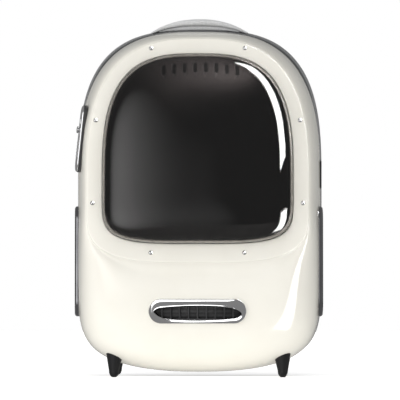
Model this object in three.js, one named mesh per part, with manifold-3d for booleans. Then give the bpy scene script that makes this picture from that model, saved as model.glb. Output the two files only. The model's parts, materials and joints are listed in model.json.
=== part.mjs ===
// A hard-fronted backpack for carrying a small pet, standing on its four feet.
// Millimetres. +X is the viewer's right, -Y is the front with the window, +Z is up.
import * as THREE from 'three';
import { mergeVertices } from 'three/addons/utils/BufferGeometryUtils.js';
import Module from 'manifold-3d';

const wasm = await Module();
wasm.setup();

// The moulded front, measured from the parting plane at y = 0
const bodyWidth = 322;
const bodyHeight = 452;
const groundClearance = 6;
const frontDepth = 132;
const frontWall = 3;
const chinHeight = 146;
const creaseSideInset = 14.6;
const creaseTopInset = 10.8;
const creaseStep = 1.8;
const bandSideWidth = 20.6;
const bandTopWidth = 20;
const bandBottomWidth = 25;
const bandLean = 8;
const noseBulge = 7;
const sideWallBend = 1.55;
const chinWallBend = 3.1;
const archBend = 2.85;
const lowSideBend = 2.3;
const floorBend = 7.9;
const creaseRound = 0.6;

// The window dome
const domeRise = 30;
const domeWall = 2.4;
const flangeInset = 4.6;
const domeClearance = 0.6;

// Rivets
const rivetHead = 6;
const rivetShank = 3;
const rivetDome = 2;
const rivetClearance = 0.3;
const rivetReach = 12.6;

// The grille in the nose and the vents on the sides
const grilleLength = 129;
const grilleHeight = 33;
const grilleZ = 88.5;
const grilleBars = 9;
const grilleRimEnd = 6.5;
const grilleRimEdge = 7;
const grilleHoleDrop = 2.2;
const ventLength = 146;
const ventWidth = 36;
const ventZ = 153;
const ventY = -40;
const ventBars = 9;
const ventRimEnd = 7;
const ventRimEdge = 7.5;
const bezelProud = 4;
const rimRound = 1.8;
const insertDepth = 6;
const insertLap = 4;
const insertFrame = 1.8;
const barWidth = 3.2;

// The latch on the left side
const latchLength = 89;
const latchWidth = 22;
const latchZ = 315;
const latchY = -73;
const latchPlate = 2;
const latchFrame = 4.4;
const latchSlotLength = 62;
const latchSlotWidth = 12.5;
const sliderLength = 50;
const sliderThickness = 2.6;
const knobDiameter = 9;
const knobHeight = 3.4;
const gripRidges = 5;
const ridgePitch = 4.4;
const ridgeProud = 0.7;
const latchRimLap = 0.5;
const latchRimRound = 1.2;
const knobSetback = 2;

// The rear tray, its liner and the seal in the parting line
const rearDepth = 100;
const rearWall = 4;
const rearProudSide = 1.8;
const rearProudTop = 3.4;
const rearCorner = 34;
const rearDraft = 4;
const rearSwell = 45;
const rearArchLift = 0.2;
const linerWall = 1.6;
const sealThickness = 2.8;
const sealWidth = 4.5;
const sealLip = 0.8;
const ventSlots = 8;
const slotPitch = 14.3;
const slotWidth = 5;
const slotHeight = 16;
const slotZ = 414;
const slotArc = 5.6;

// Feet
const footInset = 49.5;
const frontFootY = -66;
const rearFootY = 62;
const footTopRadius = 10.5;
const footTipRadius = 6;
const footHeight = 27;
const footTipRound = 1.6;

// Carry handle
const handleSpan = 128;
const handleRise = 475.3;
const handleWidth = 26;
const handleThickness = 9.2;
const handleEndThickness = 2.6;
const handleY = 21;

// Carrying gear on the back
const padWidth = 236;
const padHeight = 268;
const padThickness = 14;
const padZ = 222;
const padRound = 40;
const padSoft = 5;
const strapWidth = 62;
const strapThickness = 11;
const strapX = 70;
const strapTopZ = 392;
const strapEndZ = 176;
const strapBow = 24;
const strapTaper = 0.35;
const strapGap = 0.8;
const adjusterHeight = 24;
const adjusterBar = 5;
const adjusterThick = 6;
const webbingWidth = 25;
const webbingThickness = 2.4;
const webbingEndZ = 54;
const webbingEndInset = 57;

// Hinges on the right side
const hingeRadius = 2.6;
const hingePin = 1.1;
const hingeHeight = 36;
const hingeLowZ = 128;
const hingeHighZ = 268;
const hingeLeaf = 14;
const leafThickness = 1.5;
const hingeSetback = 6;
const knuckles = 3;
const swingGap = 1.6;
const hingeSink = 4.5;

// Gaps between neighbouring pieces, how deep cutters reach under a skin, and how finely rings are cut
const fit = 0.3;
const bury = 9;
const ringSteps = 40;
const profileSteps = 6;

const paint = {
  cream: new THREE.MeshStandardMaterial({ color: 0xf1eee4, roughness: 0.22, metalness: 0 }),
  smoke: new THREE.MeshStandardMaterial({ color: 0x2a2827, roughness: 0.05, metalness: 0 }),
  chrome: new THREE.MeshStandardMaterial({ color: 0xd8d8d8, roughness: 0.08, metalness: 1 }),
  charcoal: new THREE.MeshStandardMaterial({ color: 0x2c2c2e, roughness: 0.5, metalness: 0 }),
  rubber: new THREE.MeshStandardMaterial({ color: 0x1c1c1e, roughness: 0.75, metalness: 0 }),
  liner: new THREE.MeshStandardMaterial({ color: 0x141313, roughness: 0.8, metalness: 0 }),
  fabric: new THREE.MeshStandardMaterial({ color: 0x6d6f70, roughness: 0.9, metalness: 0 }),
  webbing: new THREE.MeshStandardMaterial({ color: 0xc4c5c6, roughness: 0.85, metalness: 0 }),
};

// Outlines in the XZ plane: an arch above, short straight sides, a rounded tray below
const bodyBottom = groundClearance;
const bodyTop = bodyBottom + bodyHeight;
const edgeOutline = outline(bodyWidth / 2, bodyBottom, bodyTop,
  0.46, 0.549, archBend, lowSideBend, floorBend);
const creaseOutline = outline(edgeOutline.half - creaseSideInset, bodyBottom + chinHeight,
  bodyTop - creaseTopInset, 0.257, 0.347, 2.75, 3.5, 3.5);
const windowOutline = outline(creaseOutline.half - bandSideWidth, creaseOutline.bottom + bandBottomWidth,
  creaseOutline.top - bandTopWidth, 0.255, 0.335, 3, 4.2, 4.2);
const rearOutline = outline(edgeOutline.half + rearProudSide, bodyBottom, bodyTop + rearProudTop,
  0.46, 0.549, archBend + rearArchLift, lowSideBend, floorBend);
const middleZ = (windowOutline.lowSide + edgeOutline.highSide) / 2;
const ringAngles = spacedAngles();

// An outline's straight sides start and end at shares of its height
function outline(half, bottom, top, lowShare, highShare, topBend, sideBend, floorBend) {
  const height = top - bottom;
  const lowSide = bottom + height * lowShare;
  const highSide = bottom + height * highShare;
  return { half, bottom, top, lowSide, highSide, topBend, sideBend, floorBend };
}

// Below 1 inside the outline, above 1 outside it, with the outline moved in by an inset
function reach(shape, x, z, inset) {
  const side = Math.abs(x) / (shape.half - inset);
  if (z > shape.highSide) {
    const up = (z - shape.highSide) / (shape.top - inset - shape.highSide);
    return side ** shape.topBend + up ** shape.topBend;
  }
  if (z < shape.lowSide) {
    const down = (shape.lowSide - z) / (shape.lowSide - shape.bottom - inset);
    return side ** shape.sideBend + down ** shape.floorBend;
  }
  return side;
}

// Distance from the middle to the outline along an angle, found by halving
function radiusAt(shape, angle, inset = 0) {
  let near = 0;
  let far = bodyHeight;
  for (let turn = 0; turn < 40; turn += 1) {
    const mid = (near + far) / 2;
    const inside = reach(shape, mid * Math.cos(angle), middleZ + mid * Math.sin(angle), inset) < 1;
    near = inside ? mid : near;
    far = inside ? far : mid;
  }
  return (near + far) / 2;
}

// Half the steps follow the length of the edge and half its turning, mirrored left and right
function spacedAngles() {
  const samples = 720;
  const weights = [0];
  const angleOf = (index) => -Math.PI / 2 + (Math.PI * index) / samples;
  const pointOf = (shape, index) => {
    const radius = radiusAt(shape, angleOf(index));
    return new THREE.Vector2(Math.cos(angleOf(index)), Math.sin(angleOf(index))).multiplyScalar(radius);
  };
  const halfGirth = bodyWidth / 2 + bodyHeight;
  for (let index = 1; index <= samples; index += 1) {
    let weight = 0;
    for (const shape of [edgeOutline, windowOutline]) {
      const before = pointOf(shape, index - 1);
      const here = pointOf(shape, index);
      const after = pointOf(shape, Math.min(index + 1, samples));
      const turn = index < samples ? Math.abs(after.sub(here).angleTo(here.clone().sub(before))) : 0;
      weight += here.distanceTo(before) / halfGirth + turn / Math.PI;
    }
    weights.push(weights[index - 1] + weight);
  }
  const right = [];
  for (let step = 0; step <= ringSteps / 2; step += 1) {
    const goal = (weights[samples] * step) / (ringSteps / 2);
    const found = weights.findIndex((weight) => weight >= goal - 1e-9);
    right.push(angleOf(found));
  }
  const left = right.slice(1, -1).reverse().map((angle) => Math.PI - angle);
  return [...right, ...left];
}

const lean = Math.tan(THREE.MathUtils.degToRad(bandLean));
const bandY = (z) => -frontDepth + (z - creaseOutline.bottom) * lean;
const ease = (value) => THREE.MathUtils.smoothstep(value, 0, 1);

// The wall's section is a plain draft at the sides and swells out towards the chin below
const chinShare = (angle) => ease((-Math.sin(angle) - 0.1) / 0.75);
const wallBend = (down) => sideWallBend + (chinWallBend - sideWallBend) * down;
const chinBulge = (down, along) => noseBulge * down * 4 * along * (1 - along);

// A point of the front's outer skin: share 0 is the crease and 1 the parting plane
function frontPoint(angle, share, inset) {
  const inner = radiusAt(creaseOutline, angle, inset);
  const outer = radiusAt(edgeOutline, angle, inset);
  const down = chinShare(angle);
  const bend = wallBend(down);
  const turn = (share * Math.PI) / 2;
  const radius = inner + (outer - inner) * Math.sin(turn) ** (2 / bend);
  const along = (radius - inner) / (outer - inner);
  const crease = bandY(middleZ + inner * Math.sin(angle)) + creaseStep + inset;
  const y = share === 1 ? 0 : crease * Math.cos(turn) ** (2 / bend) - chinBulge(down, along);
  return new THREE.Vector3(radius * Math.cos(angle), y, middleZ + radius * Math.sin(angle));
}

function outlinePoint(shape, angle, inset, depthAt) {
  const radius = radiusAt(shape, angle, inset);
  const z = middleZ + radius * Math.sin(angle);
  return new THREE.Vector3(radius * Math.cos(angle), depthAt(z), z);
}

const ring = (pointAt) => ringAngles.map(pointAt);
const outlineRing = (shape, inset, depthAt) => ring((angle) => outlinePoint(shape, angle, inset, depthAt));

// A closed body from rings of equal length: joined end to end, or closed with a point at each end.
// Each four-cornered face is folded along its shorter diagonal.
function ringBody(rings, tips = null) {
  const count = rings[0].length;
  const all = rings.flat();
  const points = all.map((point) => [point.x, point.y, point.z]);
  const faces = [];
  const rows = tips ? rings.length - 1 : rings.length;
  for (let row = 0; row < rows; row += 1) {
    const next = (row + 1) % rings.length;
    for (let column = 0; column < count; column += 1) {
      const side = (column + 1) % count;
      const [a, b] = [row * count + column, row * count + side];
      const [c, d] = [next * count + side, next * count + column];
      const split = all[a].distanceTo(all[c]) < all[b].distanceTo(all[d]);
      faces.push(...(split ? [[a, b, c], [a, c, d]] : [[a, b, d], [b, c, d]]));
    }
  }
  if (tips) {
    const first = points.push([tips[0].x, tips[0].y, tips[0].z]) - 1;
    const last = points.push([tips[1].x, tips[1].y, tips[1].z]) - 1;
    const start = (rings.length - 1) * count;
    for (let column = 0; column < count; column += 1) {
      const side = (column + 1) % count;
      faces.push([first, side, column], [last, start + column, start + side]);
    }
  }
  const geometry = new THREE.BufferGeometry();
  geometry.setAttribute('position', new THREE.Float32BufferAttribute(points.flat(), 3));
  geometry.setIndex(faces.flat());
  return facingOut(geometry);
}

// Turns every triangle over when the enclosed volume comes out negative
function facingOut(geometry) {
  const position = geometry.attributes.position;
  const index = geometry.index.array;
  const corner = [new THREE.Vector3(), new THREE.Vector3(), new THREE.Vector3()];
  let volume = 0;
  for (let start = 0; start < index.length; start += 3) {
    corner.forEach((point, offset) => point.fromBufferAttribute(position, index[start + offset]));
    volume += corner[0].dot(corner[1].clone().cross(corner[2]));
  }
  if (volume < 0) {
    for (let start = 0; start < index.length; start += 3) {
      [index[start + 1], index[start + 2]] = [index[start + 2], index[start + 1]];
    }
  }
  return geometry;
}

function solid(geometry) {
  const bare = geometry.clone();
  bare.deleteAttribute('normal');
  bare.deleteAttribute('uv');
  const merged = mergeVertices(bare, 1e-4);
  return new wasm.Manifold(new wasm.Mesh({
    numProp: 3,
    vertProperties: new Float32Array(merged.attributes.position.array),
    triVerts: new Uint32Array(merged.index.array),
  }));
}

function geometryOf(body) {
  const mesh = body.getMesh();
  const geometry = new THREE.BufferGeometry();
  geometry.setAttribute('position', new THREE.Float32BufferAttribute(mesh.vertProperties, 3));
  geometry.setIndex([...mesh.triVerts]);
  return geometry;
}

const carrier = new THREE.Group();

function addPiece(name, shape, material) {
  const geometry = shape.isBufferGeometry ? shape : geometryOf(shape);
  const mesh = new THREE.Mesh(geometry, material);
  mesh.name = name;
  carrier.add(mesh);
  return mesh;
}

// A straight cylinder between two points, as a solid
function rod(from, to, radius, sides = 12, endRadius = radius) {
  const along = to.clone().sub(from);
  const geometry = new THREE.CylinderGeometry(endRadius, radius, along.length(), sides);
  geometry.applyQuaternion(new THREE.Quaternion().setFromUnitVectors(new THREE.Vector3(0, 1, 0),
    along.clone().normalize()));
  const middle = from.clone().add(to).multiplyScalar(0.5);
  return solid(geometry.translate(middle.x, middle.y, middle.z));
}

function block(low, high) {
  const size = high.clone().sub(low);
  const middle = low.clone().add(high).multiplyScalar(0.5);
  return solid(new THREE.BoxGeometry(size.x, size.y, size.z).translate(middle.x, middle.y, middle.z));
}

const vec = (x, y, z) => new THREE.Vector3(x, y, z);

// The moulded front: flat band, crease, then a curved skin that runs back to the parting plane
const shares = Array.from({ length: profileSteps + 1 }, (_, step) => step / profileSteps);
const bandFront = outlineRing(windowOutline, 0, bandY);
const frontSkin = [
  bandFront,
  outlineRing(creaseOutline, creaseStep * creaseRound, bandY),
  ...shares.map((share) => ring((angle) => frontPoint(angle, share, 0))),
];
const cabinSkin = [
  ...shares.filter((_, step) => step % 2 === 0).reverse()
    .map((share) => ring((angle) => frontPoint(angle, share, frontWall))),
  outlineRing(creaseOutline, frontWall + creaseRound, (z) => bandY(z) + frontWall),
  outlineRing(windowOutline, 0, (z) => bandY(z) + frontWall),
];
const frontSolid = solid(ringBody(frontSkin, [vec(0, bandY(middleZ), middleZ), vec(0, 0, middleZ)]));
let frontShell = solid(ringBody([...frontSkin, ...cabinSkin]));

// Depth of the outer skin below the crease at a place seen from the front
function skinY(x, z) {
  const angle = Math.atan2(z - middleZ, x);
  const inner = radiusAt(creaseOutline, angle);
  const outer = radiusAt(edgeOutline, angle);
  const along = THREE.MathUtils.clamp((Math.hypot(x, z - middleZ) - inner) / (outer - inner), 0, 1);
  const down = chinShare(angle);
  const bend = wallBend(down);
  const crease = bandY(middleZ + inner * Math.sin(angle)) + creaseStep;
  const turn = Math.asin(along ** (bend / 2));
  return crease * Math.cos(turn) ** (2 / bend) - chinBulge(down, along);
}

// A point of the right side's skin at a given depth and height
function sidePoint(y, z) {
  let near = 0;
  let far = bodyWidth / 2;
  for (let turn = 0; turn < 40; turn += 1) {
    const mid = (near + far) / 2;
    const ahead = skinY(mid, z) < y;
    near = ahead ? mid : near;
    far = ahead ? far : mid;
  }
  return vec((near + far) / 2, y, z);
}

// Frames of reference on the skin: first axis along the piece, second across it, third outwards
const nudge = 8;

function noseFrame(z) {
  const at = vec(0, skinY(0, z), z);
  const up = vec(0, skinY(0, z + nudge) - skinY(0, z - nudge), 2 * nudge).normalize();
  const along = vec(1, 0, 0);
  return new THREE.Matrix4().makeBasis(along, up, along.clone().cross(up)).setPosition(at);
}

function sideFrame(y, z, side) {
  const at = sidePoint(y, z);
  const up = sidePoint(y, z + nudge).sub(sidePoint(y, z - nudge)).normalize();
  const back = sidePoint(y + nudge, z).sub(sidePoint(y - nudge, z));
  const out = back.cross(up).normalize();
  for (const arrow of [at, up, out]) {
    arrow.x *= side;
  }
  return new THREE.Matrix4().makeBasis(up, out.clone().cross(up), out).setPosition(at);
}

const outOf = (frame, distance) => vec(0, 0, 1).transformDirection(frame).multiplyScalar(distance);
const placed = (geometry, frame) => solid(geometry.applyMatrix4(frame));
const moved = (body, shift) => body.translate([shift.x, shift.y, shift.z]);

// A long hole's outline: straight edges and half-round ends, its edges bowed out by a crown
function obround(length, height, crown = 0, endSteps = 5, edgeSteps = 3) {
  const round = height / 2;
  const straight = length / 2 - round;
  const points = [];
  for (const side of [1, -1]) {
    for (let step = 0; step <= endSteps; step += 1) {
      const angle = (Math.PI * step) / endSteps - (Math.PI / 2) * side;
      points.push([side * straight + round * Math.cos(angle), round * Math.sin(angle)]);
    }
    for (let step = 1; step < edgeSteps; step += 1) {
      points.push([side * straight * (1 - (2 * step) / edgeSteps), side * round]);
    }
  }
  return points.map(([u, v]) => {
    const bow = crown * (1 - (2 * Math.abs(u) / length) ** 2) * Math.sign(v);
    return [u, (v * (round - crown)) / round + bow];
  });
}

const level = (points, height, shift = 0) => points.map(([u, v]) => vec(u, v + shift, height));

// A flat slab with an obround outline, between two heights
function obroundSlab(length, height, low, high, endSteps = 5, edgeSteps = 1) {
  const edge = obround(length, height, 0, endSteps, edgeSteps);
  const rows = [level(edge, low), level(edge, high)];
  return ringBody(rows, [vec(0, 0, low), vec(0, 0, high)]);
}

// A rim's section: how far in from its outer edge, in rounds, and how high, as a share of its height
const rimShape = [[0, 0.35], [1, 0.85], [2, 1]];
const rimLip = 0.7;

// A rounded rim whose section rises from its outer edge and falls to the opening
function rimBody(length, height, hole, low, high) {
  const opening = obround(hole.length, hole.height, hole.crown);
  const face = rimShape.map(([rounds, share]) => {
    const inset = 2 * rounds * hole.round;
    return level(obround(length - inset, height - inset), high * share);
  });
  return ringBody([
    level(obround(length, height), low),
    ...face,
    level(opening, high * rimLip, hole.shift),
    level(opening, low, hole.shift),
  ]);
}

// A bezel on the skin with a barred insert in a hole behind it
function addVent(name, frame, length, height, hole, bars) {
  const rim = placed(rimBody(length, height, hole, -bury, bezelProud), frame);
  const seated = moved(rim.subtract(frontSolid), outOf(frame, fit));
  const cutLength = length - 2 * insertLap;
  const cutHeight = height - 2 * insertLap;
  frontShell = frontShell.subtract(placed(obroundSlab(cutLength, cutHeight, -bury, bury), frame));
  const long = cutLength - 2 * fit;
  const tall = cutHeight - 2 * fit;
  let insert = solid(obroundSlab(long, tall, -insertDepth, bury));
  const middle = solid(obroundSlab(long - 2 * insertFrame, tall - 2 * insertFrame, -bury, bury + 1));
  const pitch = (long - 2 * insertFrame) / (bars + 1);
  let rack = null;
  for (let bar = 1; bar <= bars; bar += 1) {
    const at = pitch * bar - (long - 2 * insertFrame) / 2;
    const low = vec(at - barWidth / 2, -tall / 2 + insertFrame / 2, -insertDepth);
    const slat = block(low, vec(at + barWidth / 2, tall / 2 - insertFrame / 2, bury));
    rack = rack ? rack.add(slat) : slat;
  }
  insert = insert.subtract(middle).add(rack).transform(frame.elements);
  const below = moved(frontSolid, outOf(frame, -2 * fit));
  addPiece(`${name}_bezel`, seated, paint.chrome);
  addPiece(`${name}_insert`, insert.intersect(below), paint.charcoal);
}

const grilleHole = {
  length: grilleLength - 2 * grilleRimEnd,
  height: grilleHeight - 2 * grilleRimEdge,
  crown: 2,
  shift: -grilleHoleDrop,
  round: rimRound,
};
const ventHole = {
  length: ventLength - 2 * ventRimEnd,
  height: ventWidth - 2 * ventRimEdge,
  crown: 1,
  shift: 0,
  round: rimRound,
};
addVent('front_grille', noseFrame(grilleZ), grilleLength, grilleHeight, grilleHole, grilleBars);
addVent('side_vent_left', sideFrame(ventY, ventZ, -1), ventLength, ventWidth, ventHole, ventBars);
addVent('side_vent_right', sideFrame(ventY, ventZ, 1), ventLength, ventWidth, ventHole, ventBars);

// The window: a dome on a flange that lies behind the band
const domeShares = [0.36, 0.64, 0.82, 0.92, 0.975];
const domeBend = 3;

function domeRing(share, inset) {
  return ring((angle) => {
    const radius = radiusAt(windowOutline, angle, domeClearance + inset) * share;
    const z = middleZ + radius * Math.sin(angle);
    const rise = (domeRise - inset) * (1 - share ** domeBend) ** (1 / domeBend);
    return vec(radius * Math.cos(angle), bandY(z) - rise, z);
  });
}

const flangeFront = (z) => bandY(z) + frontWall + fit;
const flangeBack = (z) => flangeFront(z) + domeWall;
const domeTip = (rise) => vec(0, bandY(middleZ) - rise, middleZ);
let dome = solid(ringBody([
  ...domeShares.map((share) => domeRing(share, 0)),
  outlineRing(windowOutline, domeClearance, bandY),
  outlineRing(windowOutline, domeClearance, flangeFront),
  outlineRing(creaseOutline, flangeInset, flangeFront),
  outlineRing(creaseOutline, flangeInset, flangeBack),
  outlineRing(windowOutline, domeClearance + domeWall, flangeBack),
  outlineRing(windowOutline, domeClearance + domeWall, bandY),
  ...domeShares.filter((_, step) => step % 2 === 0).map((share) => domeRing(share, domeWall)).reverse(),
], [domeTip(domeRise), domeTip(domeRise - domeWall)]));

// Rivets hold the flange to the band: a domed head, a shank and a flat tail
const bandNormal = vec(0, -1, lean).normalize();
const squareTo = Math.cos(THREE.MathUtils.degToRad(bandLean));
const rivetAngles = [71.7, 34.3, -7.1, -53.3];
const tailHeight = 1.2;

function rivetGeometry() {
  const deep = -(frontWall + fit + domeWall) * squareTo - fit;
  const head = rivetHead / 2;
  const shank = rivetShank / 2;
  const profile = [[0, deep - tailHeight], [head * 0.8, deep - tailHeight], [head * 0.8, deep], [shank, deep],
    [shank, fit], [head, fit], [head * 0.75, fit + rivetDome * 0.7], [0, fit + rivetDome]];
  return new THREE.LatheGeometry(profile.map(([radius, height]) => new THREE.Vector2(radius, height)), 8);
}

const rivetTurn = new THREE.Quaternion().setFromUnitVectors(vec(0, 1, 0), bandNormal);
let rivetCount = 0;
for (const side of [-1, 1]) {
  for (const degrees of rivetAngles) {
    const angle = THREE.MathUtils.degToRad(degrees);
    const seat = outlinePoint(windowOutline, angle, -rivetReach, bandY);
    seat.x *= side;
    const deep = seat.clone().addScaledVector(bandNormal, -bury);
    const proud = seat.clone().addScaledVector(bandNormal, bury);
    const bore = rod(deep, proud, rivetShank / 2 + rivetClearance, 8);
    frontShell = frontShell.subtract(bore);
    dome = dome.subtract(bore);
    rivetCount += 1;
    const rivet = addPiece(`rivet_${rivetCount}`, geometryOf(solid(rivetGeometry())), paint.chrome);
    rivet.quaternion.copy(rivetTurn);
    rivet.position.copy(seat);
  }
}
addPiece('front_shell', frontShell, paint.cream);
addPiece('window_bubble', dome, paint.smoke);

// The latch: a plate on the wall, a frame round its slot, and a slider with a knob
const latchAt = sideFrame(latchY, latchZ, -1);
const plateSlab = placed(obroundSlab(latchLength, latchWidth, -bury, latchPlate), latchAt);
addPiece('latch_plate', moved(plateSlab.subtract(frontSolid), outOf(latchAt, fit)), paint.charcoal);
const slotHole = {
  length: latchSlotLength,
  height: latchSlotWidth,
  crown: 0,
  shift: 0,
  round: latchRimRound,
};
const frameLift = outOf(latchAt, latchPlate + 2 * fit);
const frameRim = rimBody(latchLength - 2 * latchRimLap, latchWidth - 2 * latchRimLap, slotHole, 0,
  latchFrame - latchPlate);
addPiece('latch_bezel', moved(placed(frameRim, latchAt), frameLift), paint.chrome);

const sliderLow = -latchSlotLength / 2 + 2 * fit;
const sliderHalf = latchSlotWidth / 2 - 2 * fit;
const sliderSlab = obroundSlab(sliderLength, 2 * sliderHalf, 0, sliderThickness)
  .translate(sliderLow + sliderLength / 2, 0, 0);
let slider = solid(sliderSlab);
for (let ridge = 0; ridge < gripRidges; ridge += 1) {
  const at = sliderLow + latchSlotWidth / 2 + ridge * ridgePitch;
  const low = vec(at, -sliderHalf * 0.8, sliderThickness / 2);
  slider = slider.add(block(low, vec(at + ridgePitch / 2, sliderHalf * 0.8, sliderThickness + ridgeProud)));
}
const knobAt = sliderLow + sliderLength - latchSlotWidth / 2 - knobSetback;
slider = slider.add(rod(vec(knobAt, 0, sliderThickness / 2), vec(knobAt, 0, sliderThickness + knobHeight),
  knobDiameter / 2, 16));
addPiece('slide_latch', moved(slider.transform(latchAt.elements), frameLift), paint.chrome);

// The rear tray swells a little behind the parting line, then rounds over to a flat back
const rearRim = sealThickness + 2 * fit;
const cornerSteps = 3;

function rearRows(inset) {
  const back = rearDepth - inset;
  const corner = rearCorner - inset;
  const rows = [
    [rearProudTop + inset, rearRim],
    [inset, rearSwell],
  ];
  for (let step = 0; step <= cornerSteps; step += 1) {
    const turn = (step / cornerSteps) * (Math.PI / 2);
    const lost = rearDraft + corner * (1 - Math.cos(turn));
    rows.push([inset + lost, back - corner + corner * Math.sin(turn)]);
  }
  return rows.map(([moveIn, y]) => outlineRing(rearOutline, moveIn, () => y));
}

function tray(outerInset, innerInset) {
  const tips = [vec(0, rearDepth - outerInset, middleZ), vec(0, rearDepth - innerInset, middleZ)];
  return solid(ringBody([...rearRows(outerInset).reverse(), ...rearRows(innerInset)], tips));
}

const rearTips = [vec(0, rearDepth, middleZ), vec(0, rearRim, middleZ)];
const rearSolid = solid(ringBody(rearRows(0).reverse(), rearTips));
let rearShell = tray(0, rearWall);

// The liner has a row of upright slots high on its back
let liner = tray(rearWall + fit, rearWall + fit + linerWall);
for (let slot = 0; slot < ventSlots; slot += 1) {
  const place = slot - (ventSlots - 1) / 2;
  const at = vec(place * slotPitch, rearDepth, slotZ - slotArc * (place / (ventSlots / 2)) ** 2);
  const frame = new THREE.Matrix4().makeBasis(vec(0, 0, 1), vec(1, 0, 0), vec(0, 1, 0)).setPosition(at);
  liner = liner.subtract(placed(obroundSlab(slotHeight, slotWidth, -rearCorner, bury, 4), frame));
}
addPiece('cabin_liner', liner, paint.liner);

const sealRow = (inset, y) => outlineRing(edgeOutline, inset, () => y);
addPiece('seam_gasket', ringBody([sealRow(sealLip, fit), sealRow(sealLip, fit + sealThickness),
  sealRow(sealLip + sealWidth, fit + sealThickness), sealRow(sealLip + sealWidth, fit)]), paint.charcoal);

// Feet: tapered rubber plugs whose tops follow the shell above them
function footBody(side, y, shell) {
  const buried = footHeight + bury;
  const profile = [[0, 0], [footTipRadius - footTipRound, 0], [footTipRadius, footTipRound],
    [footTopRadius, buried], [0, buried]];
  const lathe = new THREE.LatheGeometry(profile.map(([radius, z]) => new THREE.Vector2(radius, z)), 12);
  lathe.rotateX(Math.PI / 2).translate(side * (edgeOutline.half - footInset), y, 0);
  return solid(lathe).subtract(moved(shell, vec(0, 0, -fit)));
}

for (const [name, side] of [['left', -1], ['right', 1]]) {
  addPiece(`front_foot_${name}`, footBody(side, frontFootY, frontSolid), paint.rubber);
  addPiece(`rear_foot_${name}`, footBody(side, rearFootY, rearSolid), paint.rubber);
}

// Strips of webbing, padding and the handle: a rounded section carried along a path
function strip(stations, sectionSteps = 8) {
  const rows = stations.map((station, index) => {
    const before = stations[Math.max(index - 1, 0)].at;
    const after = stations[Math.min(index + 1, stations.length - 1)].at;
    const along = after.clone().sub(before).normalize();
    const across = station.across.clone().addScaledVector(along, -station.across.dot(along)).normalize();
    const out = along.clone().cross(across);
    return Array.from({ length: sectionSteps }, (_, step) => {
      const turn = (2 * Math.PI * (step + 0.5)) / sectionSteps;
      const wide = Math.sign(Math.cos(turn)) * Math.abs(Math.cos(turn)) ** 0.5 * (station.width / 2);
      const thick = Math.sign(Math.sin(turn)) * Math.abs(Math.sin(turn)) ** 0.8 * (station.thick / 2);
      return station.at.clone().addScaledVector(across, wide).addScaledVector(out, thick);
    });
  });
  return ringBody(rows, [stations[0].at, stations[stations.length - 1].at]);
}

// The handle's arch: its ends lie on the tray and its middle stands clear of it
const handleSteps = 12;
const rearTopZ = (x, inset) => {
  const bend = rearOutline.topBend;
  const up = (1 - (Math.abs(x) / (rearOutline.half - inset)) ** bend) ** (1 / bend);
  return rearOutline.highSide + (rearOutline.top - inset - rearOutline.highSide) * up;
};
const handleEndZ = rearTopZ(handleSpan / 2, rearProudTop / 2) + fit;
const handleStations = Array.from({ length: handleSteps + 1 }, (_, step) => {
  const share = (2 * step) / handleSteps - 1;
  const arch = 1 - Math.abs(share) ** 2.3;
  const thick = handleEndThickness + (handleThickness - handleEndThickness) * (1 - share ** 2);
  const middle = handleRise - handleThickness / 2;
  return {
    at: vec((share * handleSpan) / 2, handleY, handleEndZ + (middle - handleEndZ) * arch),
    across: vec(0, 1, 0),
    width: handleWidth,
    thick,
  };
});
const handleSolid = solid(strip(handleStations)).subtract(moved(rearSolid, vec(0, 0, fit)));
addPiece('carry_handle', handleSolid, paint.webbing);

// The back pad: a rounded cushion on the flat back
const padShape = new THREE.Shape();
const padHalfX = padWidth / 2 - padSoft;
const padHalfZ = padHeight / 2 - padSoft;
padShape.moveTo(-padHalfX + padRound, -padHalfZ);
for (const [quarter, [x, z]] of [[1, -1], [1, 1], [-1, 1], [-1, -1]].entries()) {
  const start = ((quarter - 1) * Math.PI) / 2;
  padShape.absarc(x * (padHalfX - padRound), z * (padHalfZ - padRound), padRound, start, start + Math.PI / 2);
}
const padGeometry = new THREE.ExtrudeGeometry(padShape, {
  depth: padThickness - 2 * padSoft,
  bevelEnabled: true,
  bevelThickness: padSoft,
  bevelSize: padSoft,
  bevelSegments: 2,
  curveSegments: 3,
});
const padBack = rearDepth + fit;
padGeometry.rotateX(Math.PI / 2).translate(0, padBack + padThickness - padSoft, padZ);
addPiece('back_pad', solid(padGeometry), paint.fabric);

// Shoulder straps, webbing and adjusters
const padTop = padBack + padThickness;
const strapRows = [
  { down: 0, lift: 0, bow: 0, full: 0.3 },
  { down: 0.06, lift: 0, bow: 0, full: 0.4 },
  { down: 0.15, lift: 1, bow: 0.12, full: 0.8 },
  { down: 0.24, lift: 1, bow: 0.6, full: 1 },
  { down: 0.36, lift: 1, bow: 0.9, full: 1 },
  { down: 0.54, lift: 1, bow: 1, full: 1 },
  { down: 0.72, lift: 1, bow: 0.8, full: 1 },
  { down: 0.86, lift: 1, bow: 0.38, full: 1 },
  { down: 0.95, lift: 1, bow: 0.02, full: 0.7 },
  { down: 1, lift: 1, bow: 0, full: 0.6 },
];

function strapStations(side) {
  return strapRows.map(({ down, lift, bow, full }) => {
    const thick = strapThickness * full;
    const y = padBack + lift * (padThickness + fit) + strapBow * bow + thick / 2;
    return {
      at: vec(side * strapX, y, strapTopZ - (strapTopZ - strapEndZ) * down),
      across: vec(1, 0, 0),
      width: strapWidth * (1 - strapTaper * down),
      thick,
    };
  });
}

const webbingY = padTop + fit + strapThickness / 2;

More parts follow.
